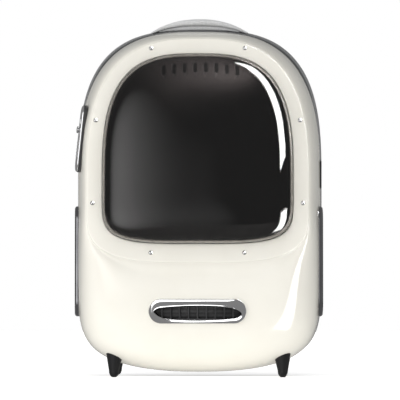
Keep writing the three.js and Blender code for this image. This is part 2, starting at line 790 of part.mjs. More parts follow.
// A plastic adjuster with a window, and a channel below it that lets the webbing out
function adjusterBody(x) {
  const halfWide = webbingWidth / 2 + adjusterBar;
  const halfOpen = webbingWidth / 2 + 2 * fit;
  const top = strapEndZ - strapGap;
  const bottom = top - adjusterHeight;
  const [front, back] = [webbingY - adjusterThick / 2, webbingY + adjusterThick / 2];
  const body = block(vec(x - halfWide, front, bottom), vec(x + halfWide, back, top));
  const window = block(vec(x - halfOpen, front - bury, bottom + adjusterBar),
    vec(x + halfOpen, back + bury, top - adjusterBar));
  const channel = block(vec(x - halfOpen, webbingY - webbingThickness / 2 - fit, bottom - bury),
    vec(x + halfOpen, back + bury, top - adjusterBar));
  return body.subtract(window).subtract(channel);
}

for (const [name, side] of [['left', -1], ['right', 1]]) {
  addPiece(`shoulder_strap_${name}`, strip(strapStations(side)), paint.fabric);
  addPiece(`adjuster_${name}`, adjusterBody(side * strapX), paint.charcoal);
}

// Lower webbing: from the adjuster's window down and out to the tray's lower corner
const webbingRows = [[0, 0, 0], [0.1, 0, 0], [0.2, 0, 0], [0.45, 0.42, 0], [0.74, 0.88, 0], [0.84, 1, 0.6],
  [0.91, 1, 1], [1, 1, 1]];
const webbingEndX = edgeOutline.half - webbingEndInset;
const webbingStart = strapEndZ - strapGap - adjusterBar - 2 * fit;

for (const [name, side] of [['left', -1], ['right', 1]]) {
  const rest = padBack + webbingThickness / 2;
  const stations = webbingRows.map(([down, out, back]) => ({
    at: vec(side * (strapX + (webbingEndX - strapX) * out), webbingY + (rest - webbingY) * back,
      webbingStart - (webbingStart - webbingEndZ) * down),
    across: vec(1, 0, 0),
    width: webbingWidth,
    thick: webbingThickness,
  }));
  addPiece(`webbing_${name}`, strip(stations), paint.charcoal);
}

// Hinges on the right side. The middle knuckle and the front leaf turn with the door, the outer
// knuckles and the rear leaf stay with the tray, and a pin runs through all three.
const leafFace = edgeOutline.half + fit + leafThickness;
const hingeX = leafFace - hingeRadius;
const hingeY = hingeSetback + fit;
const knuckleHeight = (hingeHeight - (knuckles - 1) * fit) / knuckles;
const relief = 2 * fit;
const rearEnd = hingeY + hingeSetback + hingeLeaf;
const hingeBack = moved(rearSolid, vec(fit, 0, 0));

// An upright rod on the hinge's axis
function axle(bottom, top, radius, sides = 12) {
  return rod(vec(hingeX, hingeY, bottom), vec(hingeX, hingeY, top), radius, sides);
}

// A knuckle with the tab that joins it to its leaf
function knuckleBody(low, onDoor) {
  const high = low + knuckleHeight;
  const tab = onDoor
    ? block(vec(leafFace - leafThickness, hingeY - hingeSetback - hingeLeaf, low), vec(leafFace, hingeY, high))
    : block(vec(edgeOutline.half - hingeSink, hingeY, low), vec(leafFace, rearEnd, high));
  return axle(low, high, hingeRadius).add(tab);
}

for (const [name, z] of [['lower', hingeLowZ], ['upper', hingeHighZ]]) {
  const bottom = z - hingeHeight / 2;
  const top = bottom + hingeHeight;
  const bore = axle(bottom - bury, top + bury, hingePin + fit, 8);
  let doorLeaf = block(vec(leafFace - leafThickness, -hingeLeaf, bottom), vec(leafFace, -fit, top));
  let rearLeaf = block(vec(edgeOutline.half - hingeSink, hingeY + hingeRadius + swingGap, bottom),
    vec(leafFace, rearEnd, top));
  for (let knuckle = 0; knuckle < knuckles; knuckle += 1) {
    const low = bottom + knuckle * (knuckleHeight + fit);
    if (knuckle % 2 === 1) {
      doorLeaf = doorLeaf.add(knuckleBody(low, true));
    } else {
      rearLeaf = rearLeaf.add(knuckleBody(low, false));
    }
  }
  const seat = hingeBack.subtract(axle(bottom, top, hingeRadius + 0.01));
  addPiece(`hinge_door_${name}`, doorLeaf.subtract(bore), paint.charcoal);
  addPiece(`hinge_rear_${name}`, rearLeaf.subtract(seat).subtract(bore), paint.charcoal);
  addPiece(`hinge_pin_${name}`, axle(bottom - relief, top + relief, hingePin, 8), paint.charcoal);
  rearShell = rearShell.subtract(axle(bottom - relief, top + relief, hingeRadius + relief));
}
addPiece('rear_shell', rearShell, paint.fabric);

// The part's origin lies under its middle, on the ground
const bounds = new THREE.Box3().setFromObject(carrier);
const middle = bounds.getCenter(new THREE.Vector3());
carrier.position.set(-middle.x, -middle.y, -bounds.min.z);
carrier.updateMatrixWorld(true);

export default carrier;
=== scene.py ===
import bpy
import numpy as np
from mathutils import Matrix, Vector
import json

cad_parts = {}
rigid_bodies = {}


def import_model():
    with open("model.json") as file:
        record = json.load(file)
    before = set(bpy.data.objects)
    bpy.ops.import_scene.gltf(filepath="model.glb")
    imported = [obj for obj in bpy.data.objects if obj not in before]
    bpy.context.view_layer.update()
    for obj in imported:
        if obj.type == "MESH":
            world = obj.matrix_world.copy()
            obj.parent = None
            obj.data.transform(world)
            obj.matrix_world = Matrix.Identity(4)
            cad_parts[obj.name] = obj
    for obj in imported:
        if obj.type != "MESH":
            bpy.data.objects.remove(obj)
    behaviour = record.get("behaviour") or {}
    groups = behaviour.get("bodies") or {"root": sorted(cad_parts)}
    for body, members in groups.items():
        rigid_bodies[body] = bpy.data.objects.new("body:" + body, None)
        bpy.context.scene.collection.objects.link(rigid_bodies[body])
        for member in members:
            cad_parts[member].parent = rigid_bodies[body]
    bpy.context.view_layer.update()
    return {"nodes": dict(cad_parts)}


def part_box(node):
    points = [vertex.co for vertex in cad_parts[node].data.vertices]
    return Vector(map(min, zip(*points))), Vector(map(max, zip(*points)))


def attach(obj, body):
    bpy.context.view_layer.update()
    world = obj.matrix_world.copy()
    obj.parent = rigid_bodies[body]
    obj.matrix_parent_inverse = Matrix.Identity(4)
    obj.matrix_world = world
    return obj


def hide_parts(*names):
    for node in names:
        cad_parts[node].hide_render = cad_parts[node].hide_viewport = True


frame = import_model()
rightward, backward, upward = np.eye(3)

# The moulded cream front. One glossy plastic moulding: a flat band round the window, a soft
# crease, then walls that run back to the parting line. Its chin swells forward below the
# window, and it holds every other front piece.
shell_low, shell_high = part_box("front_shell")
parting_y = shell_high.y
half_width = shell_high.x
shell_floor = shell_low.z
shell_top = shell_high.z
front_depth = 0.132
shell_wall = 0.003
crease_step = 0.0018
crease_round = 0.0015
band_lean = np.tan(np.radians(8))
nose_bulge = 0.007
around = 320


def outline(half, bottom, top, low_share, high_share, top_bend, side_bend, floor_bend):
    """An arch over short straight sides over a rounded tray, as half width, ends and bends."""
    height = top - bottom
    return (half, bottom, top, bottom + height * low_share, bottom + height * high_share,
            top_bend, side_bend, floor_bend)


edge_line = outline(half_width, shell_floor, shell_top, 0.46, 0.549, 2.85, 2.3, 7.9)
crease_line = outline(half_width - 0.0146, shell_floor + 0.146, shell_top - 0.0108,
                      0.257, 0.347, 2.75, 3.5, 3.5)
window_line = outline(crease_line[0] - 0.0206, crease_line[1] + 0.025, crease_line[2] - 0.02,
                      0.255, 0.335, 3.0, 4.2, 4.2)
middle_z = (window_line[3] + edge_line[4]) / 2


def reach(line, x, z, inset):
    """Under 1 inside an outline moved in by inset: the sum of the two shares, each to its bend."""
    half, bottom, top, low_side, high_side, top_bend, side_bend, floor_bend = line
    side = np.abs(x) / (half - inset)
    up = np.clip((z - high_side) / (top - inset - high_side), 0, None)
    down = np.clip((low_side - z) / (low_side - bottom - inset), 0, None)
    above = side ** top_bend + up ** top_bend
    below = side ** side_bend + down ** floor_bend
    return np.where(z > high_side, above, np.where(z < low_side, below, side))


def radius_at(line, angle, inset=0.0):
    """How far the outline lies from the middle along each angle, found by halving 40 times."""
    angle = np.asarray(angle, float)
    near = np.zeros_like(angle)
    far = np.full_like(angle, 0.5)
    for halving in range(40):
        mid = (near + far) / 2
        inside = reach(line, mid * np.cos(angle), middle_z + mid * np.sin(angle), inset) < 1
        near = np.where(inside, mid, near)
        far = np.where(inside, far, mid)
    return (near + far) / 2


def band_y(z):
    """Depth of the leaning plane in which the band round the window lies."""
    return parting_y - front_depth + (z - crease_line[1]) * band_lean


def parting_plane(z):
    """Depth of the upright plane in which front and rear meet."""
    return parting_y + 0 * z


def even_angles(count):
    """Angles round the shell, crowded where the edge and the window turn and thin on straight runs."""
    fine = np.linspace(0, 2 * np.pi, 4001)
    weight = np.zeros(4000)
    for line in (edge_line, window_line):
        radius = radius_at(line, fine)
        x, z = radius * np.cos(fine), radius * np.sin(fine)
        step = np.hypot(np.diff(x), np.diff(z))
        heading = np.unwrap(np.arctan2(np.diff(z), np.diff(x)))
        turn = np.abs(np.diff(heading, append=heading[0] + 2 * np.pi))
        weight += step / step.sum() + 0.6 * turn / turn.sum()
    run = np.concatenate([[0], np.cumsum(weight)])
    return np.interp(np.arange(count) / count * run[-1], run, fine)


angles = even_angles(around)


def ring_at(line, inset, lift=0.0, depth=band_y):
    """One loop of points on an outline: its depth is a function of height, plus a lift backwards."""
    radius = radius_at(line, angles, inset)
    z = middle_z + radius * np.sin(angles)
    return np.stack([radius * np.cos(angles), depth(z) + lift, z], axis=-1)


def eased(value):
    """A share that starts and ends softly: three times its square less twice its cube."""
    value = np.clip(value, 0, 1)
    return value * value * (3 - 2 * value)


def chin_share(angle):
    """How far an angle belongs to the chin: 0 at the sides and above, 1 straight down."""
    return eased((-np.sin(angle) - 0.1) / 0.75)


def wall_bend(angle):
    """Power of the wall's section: low at the sides, where it is a plain draft, high at the chin."""
    return 1.55 + 1.55 * chin_share(angle)


def wall_depth(angle, along, crease_y):
    """Depth of the wall a share of the way from crease to edge: a power curve plus the chin's swell."""
    down = chin_share(angle)
    bend = wall_bend(angle)
    sink = np.clip(1 - np.clip(along, 0, 1) ** bend, 0, 1) ** (1 / bend)
    return parting_y + (crease_y - parting_y) * sink - nose_bulge * down * 4 * along * (1 - along)


def wall_ring(sink, inset):
    """A loop of the wall at a share of its depth, 1 at the crease and 0 at the parting line: it lies
    out from crease to edge by (1 - sink to the bend) to one over the bend."""
    inner = radius_at(crease_line, angles, inset)
    outer = radius_at(edge_line, angles, inset)
    bend = wall_bend(angles)
    along = np.clip(1 - sink ** bend, 0, 1) ** (1 / bend)
    radius = inner + (outer - inner) * along
    crease_y = band_y(middle_z + inner * np.sin(angles)) + crease_step + inset
    y = wall_depth(angles, along, crease_y)
    return np.stack([radius * np.cos(angles), y, middle_z + radius * np.sin(angles)], axis=-1)


def skin_mesh(name, grid, loop_rows=False, tips=None):
    """A smooth surface from a grid of points (rows, columns, 3) whose columns close into rings.
    Rows also close when loop_rows is set, or end in one point each when tips are given. The map
    'cloth' holds the mean lengths along both ways in metres, and faces are turned outwards."""
    rows, columns, _ = grid.shape
    points = grid.reshape(-1, 3)
    row = np.arange(rows if loop_rows else rows - 1)[:, None]
    column = np.arange(columns)[None, :]
    after_row = (row + 1) % rows
    after_column = (column + 1) % columns
    corners = (row * columns + column, row * columns + after_column,
               after_row * columns + after_column, after_row * columns + column)
    faces = np.stack(np.broadcast_arrays(*corners), axis=-1).reshape(-1, 4)
    round_run = np.linalg.norm(np.roll(grid, -1, axis=1) - grid, axis=2).mean(axis=0)
    long_run = np.linalg.norm(np.roll(grid, -1, axis=0) - grid, axis=2).mean(axis=1)
    u = np.concatenate([[0], np.cumsum(round_run)])
    v = np.concatenate([[0], np.cumsum(long_run)])
    u_corner = np.broadcast_arrays(u[column], u[column + 1], u[column + 1], u[column])
    v_corner = np.broadcast_arrays(v[row], v[row], v[row + 1], v[row + 1])
    flat = [np.broadcast_to(a, (len(row), columns)) for a in (*u_corner, *v_corner)]
    maps = np.stack([np.stack(flat[:4], -1), np.stack(flat[4:], -1)], -1).reshape(-1, 4, 2)
    triangles = np.zeros((0, 3), int)
    tip_maps = np.zeros((0, 3, 2))
    if tips is not None:
        first, last = len(points), len(points) + 1
        points = np.concatenate([points, np.asarray(tips, float)])
        ring = np.arange(columns)
        following = (ring + 1) % columns
        end = (rows - 1) * columns
        triangles = np.concatenate([
            np.stack([np.full(columns, first), following, ring], -1),
            np.stack([np.full(columns, last), end + ring, end + following], -1)])
        tip_maps = points[triangles][:, :, [0, 2]]
    a, b, c, d = (points[faces[:, i]] for i in range(4))
    volume = (np.einsum("ij,ij->i", a, np.cross(b, c)).sum() + np.einsum("ij,ij->i", a, np.cross(c, d)).sum())
    if len(triangles):
        p, q, r = (points[triangles[:, i]] for i in range(3))
        volume += np.einsum("ij,ij->i", p, np.cross(q, r)).sum()
    if volume < 0:
        faces, maps = faces[:, ::-1], maps[:, ::-1]
        triangles, tip_maps = triangles[:, ::-1], tip_maps[:, ::-1]
    mesh = bpy.data.meshes.new(name)
    mesh.from_pydata(points.tolist(), [], faces.tolist() + triangles.tolist())
    mesh.polygons.foreach_set("use_smooth", np.ones(len(mesh.polygons), bool))
    cloth = mesh.uv_layers.new(name="cloth")
    cloth.data.foreach_set("uv", np.concatenate([maps.reshape(-1), tip_maps.reshape(-1)]))
    mesh.update()
    piece = bpy.data.objects.new(name, mesh)
    bpy.context.collection.objects.link(piece)
    return piece


def points_of(mesh):
    """A mesh's points as an array of rows of three."""
    points = np.empty(len(mesh.vertices) * 3)
    mesh.vertices.foreach_get("co", points)
    return points.reshape(-1, 3)


def ended_mesh(name, grid):
    """A smooth surface whose first and last rings close in their own middles."""
    return skin_mesh(name, grid, tips=[grid[0].mean(axis=0), grid[-1].mean(axis=0)])


def squared_wave(wave, power):
    """A wave's size to a power, with its sign kept: under 1 it squares the corners of a section."""
    return np.sign(wave) * np.abs(wave) ** power


def fillet(start, end, steps):
    """Shares of a quarter turn: how far round, then how far up, for a rounded edge."""
    turn = np.linspace(start, end, steps)
    return list(zip(1 - np.cos(turn), np.sin(turn)))


def even_sinks(shares):
    """Depth shares that are fine at both ends of the wall: the cosine of a quarter turn's share."""
    return [np.cos(share * np.pi / 2) ** (2 / wall_bend(angles)) for share in shares]


window_round = 0.0012
edge_round = 0.0011
last_sink = 1.4 * edge_round / front_depth
wall_sinks = even_sinks(np.linspace(0.03, 0.94, 30))
wall_sinks += [wall_sinks[-1] * (1 - share) + last_sink * share for share in np.linspace(0.2, 1, 5)]
front_rows = [ring_at(window_line, 0, shell_wall)]
front_rows += [ring_at(window_line, -window_round * across, window_round * (1 - rise))
               for across, rise in fillet(0, np.pi / 2, 6)]
front_rows += [ring_at(crease_line, crease_round + 0.006), ring_at(crease_line, crease_round + 0.001)]
front_rows += [ring_at(crease_line, crease_round * (1 - rise), crease_step * across)
               for across, rise in fillet(0.15, np.pi / 2, 9)]
front_rows += [wall_ring(sink, 0) for sink in wall_sinks]
front_rows += [ring_at(edge_line, edge_round * across, -edge_round * (1 - rise), parting_plane)
               for across, rise in fillet(0, np.pi / 2, 5)]
front_rows += [wall_ring(sink, shell_wall) for sink in even_sinks(np.linspace(1, 0, 18))]
front_rows += [ring_at(crease_line, shell_wall + 0.001, shell_wall)]
cream_front = skin_mesh("cream_front", np.stack(front_rows), loop_rows=True)


def skin_y(x, z):
    """Depth of the outer wall at a place seen from the front, between crease and edge."""
    angle = np.arctan2(z - middle_z, x)
    inner = radius_at(crease_line, angle)
    outer = radius_at(edge_line, angle)
    along = np.clip((np.hypot(x, z - middle_z) - inner) / (outer - inner), 0, 1)
    return wall_depth(angle, along, band_y(middle_z + inner * np.sin(angle)) + crease_step)


def side_point(y, z):
    """The right wall's point at a depth and height, found by halving its distance from the middle."""
    near, far = 0.0, half_width
    for halving in range(40):
        mid = (near + far) / 2
        near, far = (mid, far) if skin_y(mid, z) < y else (near, mid)
    return np.array([(near + far) / 2, y, z])


nudge = 0.008


def unit(arrow):
    """An arrow of length one."""
    return arrow / np.linalg.norm(arrow)


def nose_place(z):
    """A place on the chin: its point, then the ways along, across and out of the skin."""
    up = unit(np.array([0, skin_y(0, z + nudge) - skin_y(0, z - nudge), 2 * nudge]))
    return np.array([0, skin_y(0, z), z]), rightward, up, np.cross(rightward, up)


def side_place(y, z, side):
    """A place on a side wall: its point, then the ways up, across and out of the skin."""
    up = unit(side_point(y, z + nudge) - side_point(y, z - nudge))
    back = side_point(y + nudge, z) - side_point(y - nudge, z)
    out = unit(np.cross(back, up))
    mirror = np.array([side, 1, 1])
    up, out = up * mirror, out * mirror
    return side_point(y, z) * mirror, up, np.cross(out, up), out


def set_on(place, u, v, height):
    """Turns lengths along, across and out of a place into points of the frame."""
    at, along, across, out = place
    u, v, height = np.broadcast_arrays(u, v, height)
    return at + u[..., None] * along + v[..., None] * across + height[..., None] * out


def long_hole(length, height, crown=0.0, shift=0.0, count=96):
    """A loop with straight edges and half-round ends, its edges bowed out by a crown. Points are
    spaced evenly by a turn that runs round the ends and along the edges in proportion."""
    flat = height / 2 - crown
    straight = length / 2 - height / 2
    run = np.arange(count) / count * (4 * straight + 2 * np.pi * flat)
    ends = np.pi * flat
    turn = np.where(run < ends, run / flat,
                    np.where(run < ends + 2 * straight, np.pi,
                             np.where(run < 2 * ends + 2 * straight, (run - 2 * straight) / flat, 2 * np.pi)))
    slide = np.where(run < ends, 0, np.where(run < ends + 2 * straight, run - ends,
                     np.where(run < 2 * ends + 2 * straight, 2 * straight,
                              4 * straight + 2 * ends - run)))
    u = straight - slide + (height / 2) * np.sin(turn)
    v = -flat * np.cos(turn)
    bow = crown * (1 - (2 * np.abs(u) / length) ** 2) * np.tanh(v / flat * 4)
    return u, v + bow + shift


grille_length, grille_height, grille_z = 0.129, 0.033, 0.0885
vent_length, vent_width, vent_z = 0.146, 0.036, 0.153
vent_y = parting_y - 0.040
insert_lap = 0.004
vent_places = {
    "front_grille": (nose_place(grille_z), grille_length, grille_height),
    "side_vent_left": (side_place(vent_y, vent_z, -1), vent_length, vent_width),
    "side_vent_right": (side_place(vent_y, vent_z, 1), vent_length, vent_width),
}


def bake_modifiers(piece):
    """Makes a piece's modifiers part of its mesh, which is given back."""
    bpy.context.view_layer.update()
    shaped = piece.evaluated_get(bpy.context.evaluated_depsgraph_get())
    mesh = bpy.data.meshes.new_from_object(shaped)
    piece.modifiers.clear()
    piece.data = mesh
    return mesh


def cut_by(piece, cutters):
    """Takes the cutters' volume out of a piece for good, and removes the cutters."""
    for cutter in cutters:
        hole = piece.modifiers.new("hole", "BOOLEAN")
        hole.object = cutter
        hole.solver = "EXACT"
    bake_modifiers(piece)
    for cutter in cutters:
        bpy.data.objects.remove(cutter)


def long_plug(name, place, length, height, depths, count=96):
    """A closed solid with a long hole's outline, between two depths of a place."""
    u, v = long_hole(length, height, count=count)
    rows = [set_on(place, u, v, depth) for depth in depths]
    return skin_mesh(name, np.stack(rows), tips=[set_on(place, 0.0, 0.0, depth) for depth in depths])


cut_by(cream_front, [long_plug(hole_name + "_cutter", place, length - 2 * insert_lap,
                               height - 2 * insert_lap, (-0.012, 0.009))
                     for hole_name, (place, length, height) in vent_places.items()])


def link_or_set(tree, socket, value):
    """Feeds a socket from another one or gives it a plain value."""
    if isinstance(value, bpy.types.NodeSocket):
        tree.links.new(value, socket)
    else:
        socket.default_value = value


def sum_node(tree, operation, *values):
    """One Math node; its values are numbers or sockets."""
    node = tree.nodes.new("ShaderNodeMath")
    node.operation = operation
    for socket, value in zip(node.inputs, values):
        link_or_set(tree, socket, value)
    return node.outputs[0]


def noise_node(tree, place, scale, detail=3.0, rough=0.55):
    """One Noise node's factor."""
    node = tree.nodes.new("ShaderNodeTexNoise")
    for label, value in (("Vector", place), ("Scale", scale), ("Detail", detail), ("Roughness", rough)):
        link_or_set(tree, node.inputs[label], value)
    return node.outputs["Fac"]


def spread(tree, value, low, high, to_low, to_high):
    """A value carried from one range to another, held at its ends."""
    node = tree.nodes.new("ShaderNodeMapRange")
    for label, number in (("Value", value), ("From Min", low), ("From Max", high),
                          ("To Min", to_low), ("To Max", to_high)):
        link_or_set(tree, node.inputs[label], number)
    return node.outputs["Result"]


def mixed(tree, share, first, second):
    """A colour between two colours by a share of 0 to 1."""
    node = tree.nodes.new("ShaderNodeMix")
    node.data_type = "RGBA"
    link_or_set(tree, node.inputs["Factor"], share)
    for socket, colour in ((node.inputs[6], first), (node.inputs[7], second)):
        link_or_set(tree, socket, colour if isinstance(colour, bpy.types.NodeSocket) else (*colour, 1.0))
    return node.outputs[2]


def effect_group(name, inputs, outputs):
    """An empty shader node group: a Place vector and named numbers in, named numbers out."""
    tree = bpy.data.node_groups.new(name, "ShaderNodeTree")
    tree.interface.new_socket("Place", in_out="INPUT", socket_type="NodeSocketVector")
    for label, value in inputs.items():
        socket = tree.interface.new_socket(label, in_out="INPUT", socket_type="NodeSocketFloat")
        socket.default_value = value
    for label in outputs:
        tree.interface.new_socket(label, in_out="OUTPUT", socket_type="NodeSocketFloat")
    return tree, tree.nodes.new("NodeGroupInput").outputs, tree.nodes.new("NodeGroupOutput").inputs


def use_group(tree, group, place, **values):
    """Puts a group into a material with its own values and gives back its outputs."""
    node = tree.nodes.new("ShaderNodeGroup")
    node.node_tree = group
    tree.links.new(place, node.inputs["Place"])
    for label, value in values.items():
        link_or_set(tree, node.inputs[label], value)
    return node.outputs


# Fine skin of a moulded or cast surface: a dense grain over slow swells
grain_group, grain_in, grain_out = effect_group("moulded_skin", {"Grain": 900.0, "Swell": 9.0},
                                                ("Height", "Tone"))
grain = noise_node(grain_group, grain_in["Place"], grain_in["Grain"], 2.0)
swell = noise_node(grain_group, grain_in["Place"], grain_in["Swell"], 3.0)
grain_group.links.new(sum_node(grain_group, "MULTIPLY_ADD", grain, 0.35, swell), grain_out["Height"])
grain_group.links.new(spread(grain_group, swell, 0.35, 0.65, 0.0, 1.0), grain_out["Tone"])

# Marks of use: soft cloudy patches crossed by fine hair scratches
use_marks, marks_in, marks_out = effect_group("marks_of_use", {"Patch": 14.0, "Hair": 260.0},
                                              ("Patches", "Hairs"))
stretch = use_marks.nodes.new("ShaderNodeMapping")
stretch.inputs["Rotation"].default_value = (0.4, 0.9, 0.3)
stretch.inputs["Scale"].default_value = (1.0, 0.04, 0.35)
use_marks.links.new(marks_in["Place"], stretch.inputs["Vector"])
hairs = noise_node(use_marks, stretch.outputs[0], marks_in["Hair"], 2.0)
patches = noise_node(use_marks, marks_in["Place"], marks_in["Patch"], 4.0, 0.6)
use_marks.links.new(spread(use_marks, hairs, 0.66, 0.72, 0.0, 1.0), marks_out["Hairs"])
use_marks.links.new(spread(use_marks, patches, 0.4, 0.7, 0.0, 1.0), marks_out["Patches"])


def new_finish(name, sockets):
    """A material with one Principled shader whose plain sockets are set; gives the material, its
    node tree, the shader's inputs and the Object coordinates."""
    finish = bpy.data.materials.new(name)
    finish.use_nodes = True
    tree = finish.node_tree
    shader = tree.nodes["Principled BSDF"].inputs
    for label, value in sockets.items():
        shader[label].default_value = value
    place = tree.nodes.new("ShaderNodeTexCoord").outputs["Object"]
    return finish, tree, shader, place


def bumped(tree, shader, height, distance, strength):
    """Bends a shader's normals by a height that is worth a distance in metres."""
    node = tree.nodes.new("ShaderNodeBump")
    node.inputs["Distance"].default_value = distance
    node.inputs["Strength"].default_value = strength
    tree.links.new(height, node.inputs["Height"])
    tree.links.new(node.outputs["Normal"], shader["Normal"])


def grained_finish(name, sockets, grain, swell, dark, light, rough, bump=None):
    """A plain skin: two near tones and a roughness that change in slow swells, over a fine grain."""
    finish, tree, shader, place = new_finish(name, sockets)
    skin = use_group(tree, grain_group, place, Grain=grain, Swell=swell)
    tree.links.new(mixed(tree, skin["Tone"], dark, light), shader["Base Color"])
    tree.links.new(spread(tree, skin["Tone"], 0, 1, *rough), shader["Roughness"])
    if bump:
        bumped(tree, shader, skin["Height"], *bump)
    return finish


def worn_finish(name, sockets, grain, swell, patch, hair, dark, light, rough, scratch, bump):
    """A hard skin: two near tones in slow swells, and a roughness that rises in soft patches of use
    and by a scratch's share along hair marks."""
    finish, tree, shader, place = new_finish(name, sockets)
    skin = use_group(tree, grain_group, place, Grain=grain, Swell=swell)
    marks = use_group(tree, use_marks, place, Patch=patch, Hair=hair)
    tree.links.new(mixed(tree, skin["Tone"], dark, light), shader["Base Color"])
    rub = spread(tree, marks["Patches"], 0, 1, *rough)
    tree.links.new(sum_node(tree, "MULTIPLY_ADD", marks["Hairs"], scratch, rub), shader["Roughness"])
    bumped(tree, shader, skin["Height"], *bump)
    return finish


cream_gloss = worn_finish(
    "cream_gloss", {"IOR": 1.5, "Coat Weight": 0.35, "Coat Roughness": 0.04, "Subsurface Weight": 0.0},
    1400.0, 16.0, 11.0, 300.0, (0.872, 0.846, 0.765), (0.892, 0.868, 0.79), (0.13, 0.19), 0.05,
    (0.00006, 0.6))


def finish_piece(piece, body, slot, finish, *nodes):
    """Gives a piece its material and its body, and says which nodes it stands for. The slot is not used."""
    piece.data.materials.clear()
    piece.data.materials.append(finish)
    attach(piece, body)
    if nodes:
        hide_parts(*nodes)


finish_piece(cream_front, "door", "cream_shell", cream_gloss, "front_shell")

# The window. A blown dome of smoked clear acrylic on a flat flange; the flange lies behind the
# band and the rivets clamp it there.
dome_rise = 0.030
dome_wall = 0.0024
dome_clearance = 0.0006
flange_inset = 0.0046
seat_gap = 0.0003


def dome_ring(share, inset):
    """A loop of the dome: its radius is a share of the window's, and it rises by one less the share
    cubed, to a small power, so the middle is nearly flat and the side stands steep."""
    radius = radius_at(window_line, angles, dome_clearance + inset) * share
    z = middle_z + radius * np.sin(angles)
    rise = (dome_rise - inset) * np.clip(1 - share ** 3, 0, 1) ** 0.23
    return np.stack([radius * np.cos(angles), band_y(z) - rise, z], axis=-1)


flange_front = shell_wall + seat_gap
flange_back = flange_front + dome_wall
dome_shares = 1 - np.linspace(0.985, 0, 56) ** 2.6
dome_rows = [dome_ring(share, 0) for share in dome_shares]
dome_rows += [ring_at(window_line, dome_clearance, flange_front - 0.0006),
              ring_at(window_line, dome_clearance - 0.0004, flange_front),
              ring_at(crease_line, flange_inset, flange_front),
              ring_at(crease_line, flange_inset, flange_back),
              ring_at(window_line, dome_clearance + dome_wall, flange_back)]
dome_rows += [dome_ring(share, dome_wall) for share in dome_shares[::-1]]
middle_y = float(band_y(middle_z))
window_dome = skin_mesh("window_dome", np.stack(dome_rows), tips=[
    (0, middle_y - dome_rise, middle_z), (0, middle_y - dome_rise + dome_wall, middle_z)])

smoked_acrylic = worn_finish(
    "smoked_acrylic", {"IOR": 1.49, "Transmission Weight": 1.0, "Metallic": 0.0, "Coat Weight": 0.0},
    60.0, 5.0, 9.0, 340.0, (0.29, 0.275, 0.265), (0.34, 0.325, 0.315), (0.006, 0.02), 0.03, (0.00005, 0.25))
finish_piece(window_dome, "door", "smoked_dome", smoked_acrylic, "window_bubble")

# Eight rivets. Domed heads of bright plated steel, pressed through band and flange, all square
# to the leaning band.
rivet_head = 0.003
rivet_dome = 0.002
rivet_reach = 0.0126
band_out = unit(np.array([0, -1.0, band_lean]))


def turned_piece(name, profile, at, axis, across, columns=40):
    """A profile of radius and height swept round an axis: radius times cos and sin of the turn. It
    closes at both ends in a point on the axis."""
    profile = np.asarray(profile, float)
    turn = np.arange(columns) / columns * 2 * np.pi
    spoke = np.cos(turn)[:, None] * across + np.sin(turn)[:, None] * np.cross(axis, across)
    grid = at + profile[:, 0, None, None] * spoke + profile[:, 1, None, None] * axis
    tips = [at + profile[0, 1] * axis, at + profile[-1, 1] * axis]
    return skin_mesh(name, grid, tips=tips)


def plated_finish(name, dark, light):
    """A polished plated skin between two tones."""
    return worn_finish(name, {"Metallic": 1.0, "Specular IOR Level": 0.5}, 700.0, 30.0, 40.0, 500.0,
                       dark, light, (0.06, 0.12), 0.08, (0.00003, 0.4))


bright_chrome = plated_finish("bright_chrome", (0.80, 0.80, 0.81), (0.88, 0.88, 0.88))
# The side vents' rims: the same plating with darker tones, painted shade standing for the dark reflections
# the rims show.
chrome_painted_dark = plated_finish("chrome_painted_dark", (0.24, 0.24, 0.25), (0.32, 0.32, 0.33))

head_turn = np.linspace(0.06, np.pi / 2, 10)
head_profile = [(0.0004, rivet_dome + seat_gap)]
head_profile += [(rivet_head * np.sin(turn), seat_gap + 0.0003 + (rivet_dome - 0.0003) * np.cos(turn))
                 for turn in head_turn]
head_profile += [(rivet_head, 0.0001), (rivet_head * 0.5, 0.0001), (rivet_head * 0.5, -0.0061),
                 (rivet_head * 0.8, -0.0061), (rivet_head * 0.8, -0.0072), (0.0004, -0.0074)]
rivet_count = 0
for side in (-1, 1):
    for degrees in (71.7, 34.3, -7.1, -53.3):
        rivet_count += 1
        turn = np.radians(degrees)
        radius = float(radius_at(window_line, turn, -rivet_reach))
        seat_z = middle_z + radius * np.sin(turn)
        seat = np.array([side * radius * np.cos(turn), band_y(seat_z), seat_z])
        rivet = turned_piece(f"dome_rivet_{rivet_count}", head_profile, seat, band_out, rightward)
        finish_piece(rivet, "door", "chrome_trim", bright_chrome, f"rivet_{rivet_count}")

# The grille in the chin and a vent in each side wall. Each is a plated plastic rim that stands
# proud of the shell, round a charcoal rack of upright bars that clips into the hole.
bezel_proud = 0.004
rack_depth = 0.006
bar_width = 0.0032
bar_count = 9
rack_frame = 0.0018
gauze_faces = (-0.0042, -0.0036)


def rim_rows(place, outer, inner, low, section):
    """A rim as loops: each blends the outer outline into the hole's by a share, at a height."""
    (outer_u, outer_v), (inner_u, inner_v) = outer, inner
    return np.stack([set_on(place, outer_u + (inner_u - outer_u) * share,
                            outer_v + (inner_v - outer_v) * share, height)
                     for share, height in section] + [
        set_on(place, inner_u, inner_v, low), set_on(place, outer_u, outer_v, low)])


def rounded_bar(name, place, middle, half, bottom, top):
    """An upright bar: its section is a turn's cosine and sine, each squared by the power 0.6."""
    turn = np.arange(20) / 20 * 2 * np.pi
    across = squared_wave(np.cos(turn), 0.6) * half
    rise = squared_wave(np.sin(turn), 0.6) * (top - bottom) / 2
    length = np.linspace(-1, 1, 9)[:, None] * middle[2]
    grid = set_on(place, middle[0] + across + 0 * length, middle[1] + length + 0 * across,
                  (top + bottom) / 2 + rise + 0 * length)
    return ended_mesh(name, grid)


def joined(name, pieces):
    """One mesh from several separate closed ones."""
    bpy.ops.object.select_all(action="DESELECT")
    for piece in pieces:
        piece.select_set(True)
    bpy.context.view_layer.objects.active = pieces[0]
    bpy.ops.object.join()
    pieces[0].name = name
    return pieces[0]


